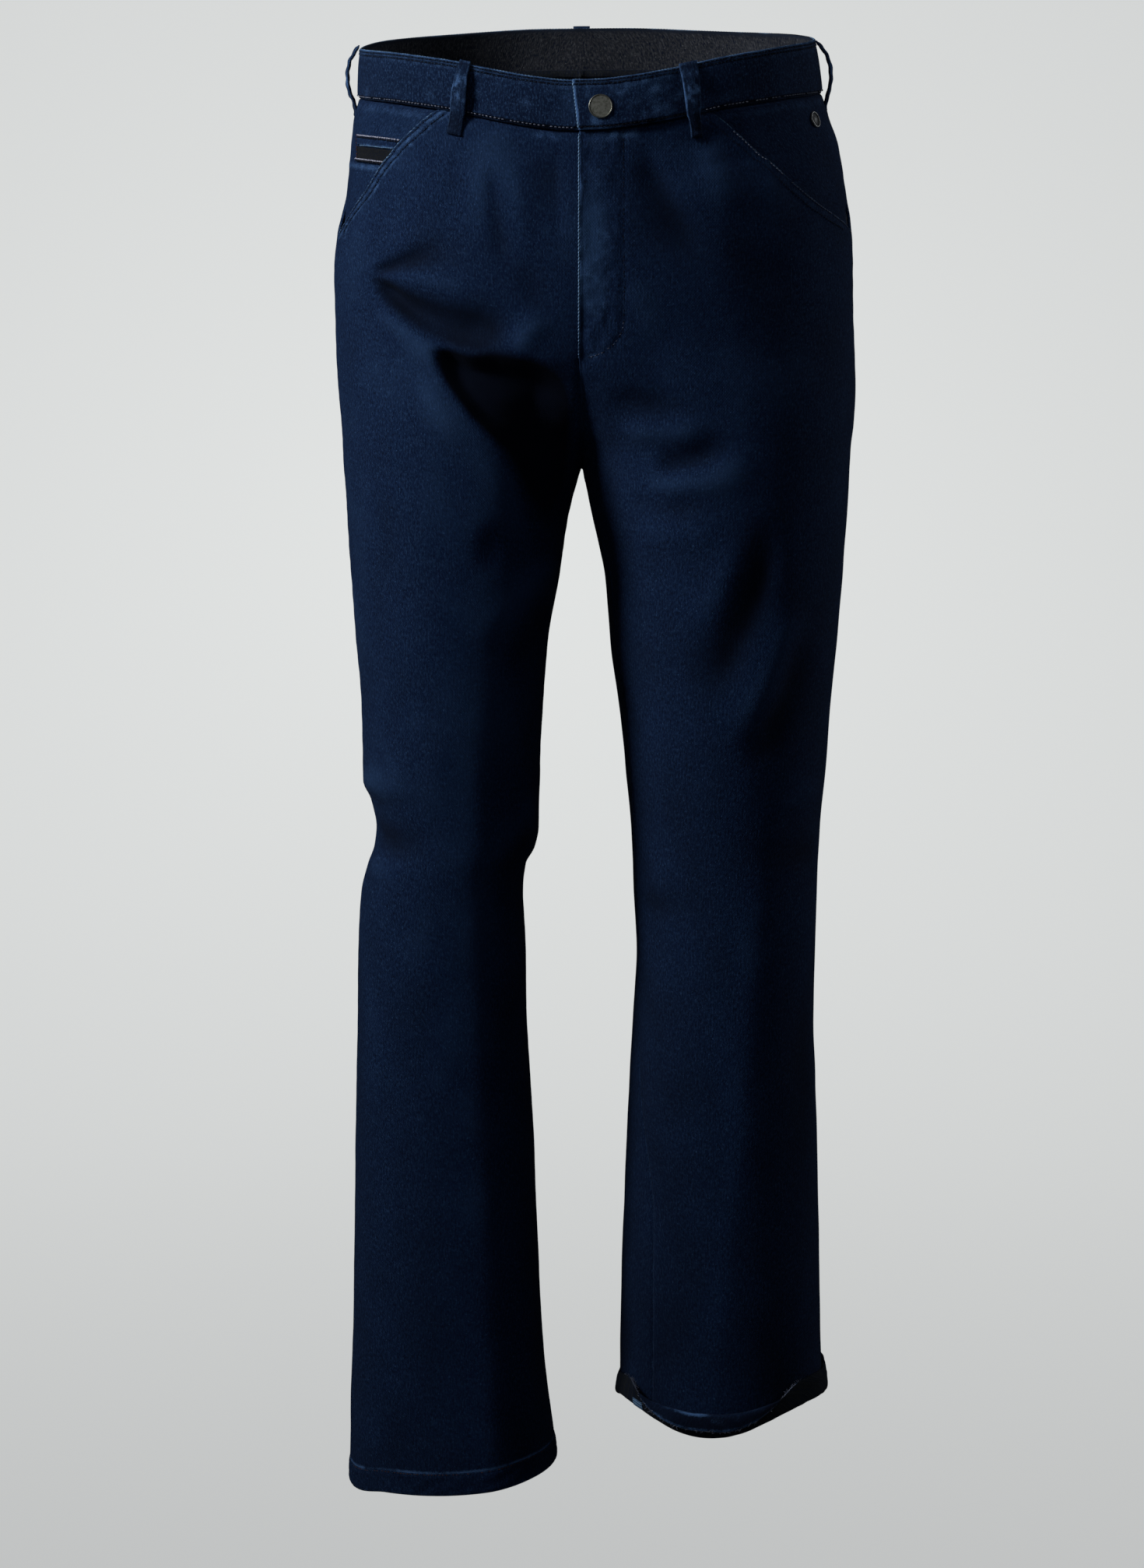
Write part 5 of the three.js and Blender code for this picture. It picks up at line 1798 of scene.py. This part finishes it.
thread = {
    "top": {"pitch": 2.9, "share": 0.6, "radius": 0.3},
    "seam": {"pitch": 2.8, "share": 0.62, "radius": 0.34},
    "fine": {"pitch": 2.6, "share": 0.62, "radius": 0.26},
    "puff": {"pitch": 2.6, "share": 0.5, "radius": 0.36, "offset": 0.5},  # cloth raised between two stitches
}


def stitched(name, lines, look, kind, seeds, **changes):
    # one piece of the rows of stitches along some lines
    rows = [(*line, dict(thread[kind], seed=seed, **changes)) for line, seed in zip(lines, seeds)]
    return stitchRows(name, rows, looks[look])


def bandStitching():
    lapStart = 466  # the foot row is grey as far as this station
    lines = [bandLine(stations, height, 1.35) for height in band["topRows"]]
    dark = stitched("stitching_band_top", lines, "darkThread", "top", (401, 402))
    lines = [bandLine(stations[band["steps"]["underlap"]:lapStart], band["lowRow"], 1.35)]
    grey = stitched("stitching_band_foot", lines, "greyThread", "seam", (405,), missing=0.12)
    lines = [bandLine(stations[lapStart:], band["lowRow"] + 0.1, 1.35)]
    lapped = stitched("stitching_band_foot_lap", lines, "darkThread", "seam", (407,), missing=0.2)
    lines = [bandLine(stations, height, 1.25) for height in band["topRows"]]
    raised = {"pitch": 2.9, "radius": 0.42, "missing": 0.2}
    puffs = stitched("waistband_puffs", lines, "puff", "puff", (408, 409), **raised)
    points, outward = bandLine(stations, -0.45, 0.35)
    length = pathLength(points)
    at = np.arange(0.2, length[-1] - 0.2, 0.62)
    line = (pointsAt(at, length, points), pointsAt(at, length, outward))
    worn = 0.42 + 0.2 * softNoise(at / 23, 0, 409) + 0.3 * softNoise(at / 4, 0, 410)
    roll = foldedEdge("waistband_edge", line, 0.62, worn, rope=0.2, corners=6)
    return [dark, grey, lapped, puffs, roll]


def mouthRow(side, offset, top, foot, above):
    heights = np.linspace(top, foot, 160)
    degree, longer = edgeRun(side, mouthTurn, heights)
    turns = mouthTurn(side, heights) + offset * longer / degree
    return clothLine(frontPoint, side, turns, heights, above)


def pocketStitching(side):
    lines, raised = ([mouthRow(side, offset, -36.5, -127, above) for offset in pocketEdge["rows"]]
                     for above in (0.1, 0.0))
    if side == right:
        pieces = [
            stitched("stitching_pocket_right", lines, "darkThread", "fine", (411, 412)),
            stitched("pocket_puffs_right", raised, "puff", "puff", (415, 416), missing=0.25),
        ]
    else:
        edge = [mouthRow(side, 1.1, -50, -131, 0.25)]
        broken = {"missing": 0.28, "radius": 0.28}
        pieces = [
            stitched("stitching_pocket_left", lines[1:], "darkThread", "fine", (412,)),
            stitched("stitching_pocket_left_edge", edge, "greyThread", "fine", (413,), **broken),
        ]
    line = mouthRow(side, 0.3, -35.5, -131, -0.15)
    uneven = 1 + 0.7 * softNoise(np.linspace(0, 1, len(line[0])) * 31, 0, 417 + side)
    worn = pocketEdge["edgeWear"][side] * uneven
    roll = foldedEdge(f"pocket_edge_{sideNames[side]}", line, 0.48, worn, rope=0.14, ropePitch=3.3)
    return [*pieces, roll]


def flyStitching():
    path = evenPath(flyStitch["path"], 220)
    line = clothLine(frontPoint, left, *frontPlace(left, path[:, 0], path[:, 1]), 0.1)
    foot = [part[flyStitch["curve"]:] for part in line]
    thin = {"share": 0.45, "missing": 0.5, "radius": 0.2}
    dark = stitched("stitching_fly", [line], "darkThread", "fine", (421,), missing=0.4)
    tail = stitched("stitching_fly_foot", [foot], "greyThread", "fine", (423,), **thin)
    heights = np.linspace(-36, cut["flyFoot"] + 1, 420)
    line = clothLine(frontPoint, left, turnAt(left, heights, cut["flyEdge"] - 0.35), heights, -0.05)
    worn = 0.32 + 0.75 * smooth(-206, -168, heights)
    roll = foldedEdge("fly_edge", line, 0.46, worn, rope=0.34, ropePitch=2.4)
    heights = np.linspace(-0.8, -33.4, 70)
    points = bandPoints([stations[-1]] * 2, heights, np.array([1.15]))[0]
    outward = np.tile(bandLine([stations[-1]], bandMiddle, 0.0)[1], (70, 1))
    end = foldedEdge("waistband_end_edge", (points, outward), 0.5, 0.75, rope=0.3, ropePitch=2.4)
    return [dark, tail, roll, end]


def hemStitching():
    pieces = []
    height = np.array(cut["rightHem"] + hem["stitch"])
    halves = {
        "front": (frontPoint, frontOuterTurn, frontInnerTurn, "rustThread"),
        "back": (backPoint, backOuterTurn, backInnerTurn, "darkThread"),
    }
    for label, (function, start, finish, look) in halves.items():
        turns = np.linspace(float(start(right, height)), float(finish(right, height)), 260)
        lines = [clothLine(function, right, turns, np.full(260, height), 0.1)]
        pieces.append(stitched(f"hem_puffs_{label}", lines, "puff", "puff", (433,), missing=0.2))
        sparse = {"share": 0.5, "missing": 0.35}
        pieces.append(stitched(f"stitching_hem_{label}", lines, look, "fine", (431,), **sparse))
    return pieces


def coinLine(turns, heights, above, drop=0.0):
    # a path on the coin pocket and the directions out of it
    lift = facingLift(right, heights, turns) + above
    return clothPoint(right, turns, heights - drop, lift)[0], skinNormal(right, turns, heights)


def coinStitching():
    wall = coinPocket["welt"]["wall"]
    lines, under = ([coinLine(np.linspace(first, last, 60), np.full(60, height), wall + above, drop)
                     for height, first, last in coinPocket["rows"]]
                    for above, drop in ((0.75, 0.0), (0.6, 1.25)))
    pale = stitched("stitching_coin_pocket", lines, "paleThread", "fine", (441, 441), radius=0.58, share=0.8)
    # dark navy thread just under each pale row: a painted shadow line, not a row of stitches
    shade = stitched("coin_pocket_painted_shadow_line", under, "darkThread", "fine", (442, 442),
                     radius=0.5, share=0.93)
    heights = np.linspace(-57.5, -75.5, 40)
    turns = turnAt(right, heights, coinPocket["outerX"] - 0.6)
    lines = [coinLine(turns, heights, 1.75)]
    end = stitched("stitching_coin_pocket_end", lines, "rustThread", "fine", (443,))
    turns = np.linspace(21, 39, 70)
    heights = coinPocket["welt"]["foot"] - 0.2 + 0.35 * softNoise(turns / 3.1, 0, 445)
    lip = foldedEdge("coin_pocket_lip", coinLine(turns, heights, wall + 0.1), 0.4, 0.5, rope=0.15)
    return [pale, shade, end, lip]


overlock = {"over": {"pitch": 1.5, "share": 0.8, "radius": 0.24, "twist": 0.55, "seed": 451},
            "under": {"pitch": 2.1, "share": 0.85, "radius": 0.16, "seed": 453}}


def cuffStitching():
    edge = (faceSide[-1] + wrongSide[-1]) / 2
    outward = faceSide[-1] - wrongSide[-1]
    outward /= np.linalg.norm(outward, axis=1, keepdims=True)
    inFront = (cuffTurn > 48) & (cuffTurn < 152)
    behind = np.flatnonzero(~inFront)
    behind = np.roll(behind, -np.count_nonzero(cuffTurn[behind] < 90))
    pieces = []
    for label, order, look in (("front", inFront, "greyThread"), ("back", behind, "darkThread")):
        path = edge[order]
        out = outward[order]
        rows = [(path, out, overlock["over"]), (path - out * 0.5, out, overlock["under"])]
        pieces.append(stitchRows(f"overlock_cuff_{label}", rows, looks[look]))
    return pieces


fray = {"count": 300, "lengths": (0.9, 3.0), "radius": 0.15, "droop": (0, 0, 0.5), "seed": 461}


def cuffFrays():
    # loose thread ends along the edge that has rolled over
    chosen = (cuffTurn > 42) & (cuffTurn < 158)
    points = faceSide[-1][chosen]
    outward = points - faceSide[-3][chosen]
    outward /= np.linalg.norm(outward, axis=1, keepdims=True)
    random = np.random.default_rng(fray["seed"])
    t = np.linspace(0, 1, 5)[:, None]
    rows = []
    for _ in range(fray["count"]):
        i = random.integers(1, len(points) - 1)
        lean = outward[i] * random.uniform(0.2, 1.0) + np.array(fray["droop"]) * random.uniform(0.3, 1.0)
        lean = lean + random.normal(0, 0.45, 3)
        lean /= np.linalg.norm(lean)
        size = random.uniform(*fray["lengths"])
        curl = random.normal(0, 0.5, 3)
        line = points[i] + lean * size * t + curl * size * 0.3 * t * t
        sizes = {"pitch": size * 0.97, "share": 0.96, "radius": fray["radius"], "seed": int(i)}
        rows.append((line, np.broadcast_to(outward[i], line.shape), sizes))
    return stitchRows("cuff_frays", rows, looks["greyThread"])


stitching = [*bandStitching(), *pocketStitching(right), *pocketStitching(left), *flyStitching(),
             *hemStitching(), *coinStitching(), *cuffStitching(), cuffFrays()]
print("stitching made,", len(stitching), "pieces")


# Studio: a pale round floor that curves up into a wall; it glows with painted light, brighter round one spot
# and dimmer away from it, and is seen but throws no light back

studio = {
    "floor": -1.75,         # metres
    "radius": 7.0,
    "cove": 3.0,
    "wallTop": 5.0,
    "pale": (0.765, 0.780, 0.775, 1),
    "dim": (0.510, 0.520, 0.520, 1),
    "paintedLightCentre": (-0.2, 6.3, -0.9),
    "sectors": 128,
    "steps": 24,            # of the curve up into the wall
}


def studioFloor():
    radius, cove, floor = studio["radius"], studio["cove"], studio["floor"]
    profile = [(0.05, floor), (radius - cove, floor)]
    for step in range(1, studio["steps"] + 1):
        angle = step / studio["steps"] * math.pi / 2
        profile.append((radius - cove + cove * math.sin(angle), floor + cove * (1 - math.cos(angle))))
    profile.append((radius, studio["wallTop"]))
    angles = np.linspace(0, 2 * np.pi, studio["sectors"], endpoint=False)
    points = np.array([(r * np.cos(a), r * np.sin(a), z) for r, z in profile for a in angles])
    faces = gridFaces(len(profile), studio["sectors"], True).tolist()
    faces.append(list(range(studio["sectors"])))
    mesh = bpy.data.meshes.new("studio_floor")
    mesh.from_pydata(points.tolist(), [], faces)
    mesh.polygons.foreach_set("use_smooth", np.ones(len(mesh.polygons), bool))
    piece = bpy.data.objects.new("studio_floor", mesh)
    bpy.context.collection.objects.link(piece)
    material, tree, shader = newMaterial("studio backdrop, glowing with painted light")
    shader["Base Color"].default_value = (0, 0, 0, 1)
    shader["Roughness"].default_value = 1.0
    shader["Specular IOR Level"].default_value = 0.0
    shader["Emission Strength"].default_value = 1.0
    # painted light: the glow is brightest round a spot behind the trousers near the wall and dims with
    # distance from it
    spot = put(tree, "ShaderNodeTexCoord").outputs["Object"]
    away = put(tree, "ShaderNodeVectorMath", {0: spot, 1: studio["paintedLightCentre"]}, operation="DISTANCE")
    reach = {"Value": away.outputs["Value"], "From Min": 0.0, "From Max": 5.0}
    dimmer = put(tree, "ShaderNodeMapRange", reach).outputs[0]
    tree.links.new(mixColor(tree, dimmer, studio["pale"], studio["dim"]), shader["Emission Color"])
    mesh.materials.append(material)
    piece.visible_diffuse = False
    piece.visible_glossy = False
    piece.visible_shadow = False


lights = {
    "key": {
        "spot": (-2.15, -1.05, 1.15),
        "aim": (-0.1, -0.05, 0.0),
        "size": 0.9,
        "watts": 9.0,
        "spread": 68,
        "color": (1.0, 0.985, 0.985),
    },
    "front": {
        "spot": (-0.3, -3.4, 0.9),
        "aim": (0, 0, -0.2),
        "size": 1.6,
        "watts": 2.2,
        "spread": 120,
        "color": (0.94, 0.97, 1.0),
    },
    "rim": {
        "spot": (2.6, 0.9, 0.6),
        "aim": (0, 0, -0.5),
        "size": 1.4,
        "watts": 5,
        "spread": 120,
        "color": (0.95, 0.97, 1.0),
    },
}


def studioLight(name, spec):
    data = bpy.data.lights.new(name, "AREA")
    data.shape = "DISK"
    data.size = spec["size"]
    data.energy = spec["watts"]
    data.color = spec["color"]
    data.spread = math.radians(spec["spread"])
    light = bpy.data.objects.new(name, data)
    bpy.context.collection.objects.link(light)
    light.location = spec["spot"]
    aim = mathutils.Vector(spec["aim"]) - mathutils.Vector(spec["spot"])
    light.rotation_euler = aim.to_track_quat("-Z", "Y").to_euler()


def studioWorld():
    world = bpy.data.worlds.new("studio air")
    world.use_nodes = True
    background = world.node_tree.nodes["Background"]
    background.inputs["Color"].default_value = (0.80, 0.87, 1.0, 1)
    background.inputs["Strength"].default_value = 0.035
    bpy.context.scene.world = world


studioFloor()
for name, spec in lights.items():
    studioLight(name, spec)
studioWorld()
bpy.context.scene.view_settings.view_transform = "Standard"

# Camera: its place in metres, how far it looks down in degrees, lens and sensor in millimetres
cameraView = {"spot": (-0.007, -2.8, -0.150), "tiltDown": 7.567, "lens": 90.16, "sensor": 36}


def studioCamera():
    data = bpy.data.cameras.new("camera")
    data.lens = cameraView["lens"]
    data.sensor_width = cameraView["sensor"]
    camera = bpy.data.objects.new("camera", data)
    bpy.context.collection.objects.link(camera)
    camera.location = cameraView["spot"]
    camera.rotation_euler = (math.radians(90 - cameraView["tiltDown"]), 0, 0)
    bpy.context.scene.camera = camera


studioCamera()
print("studio made")
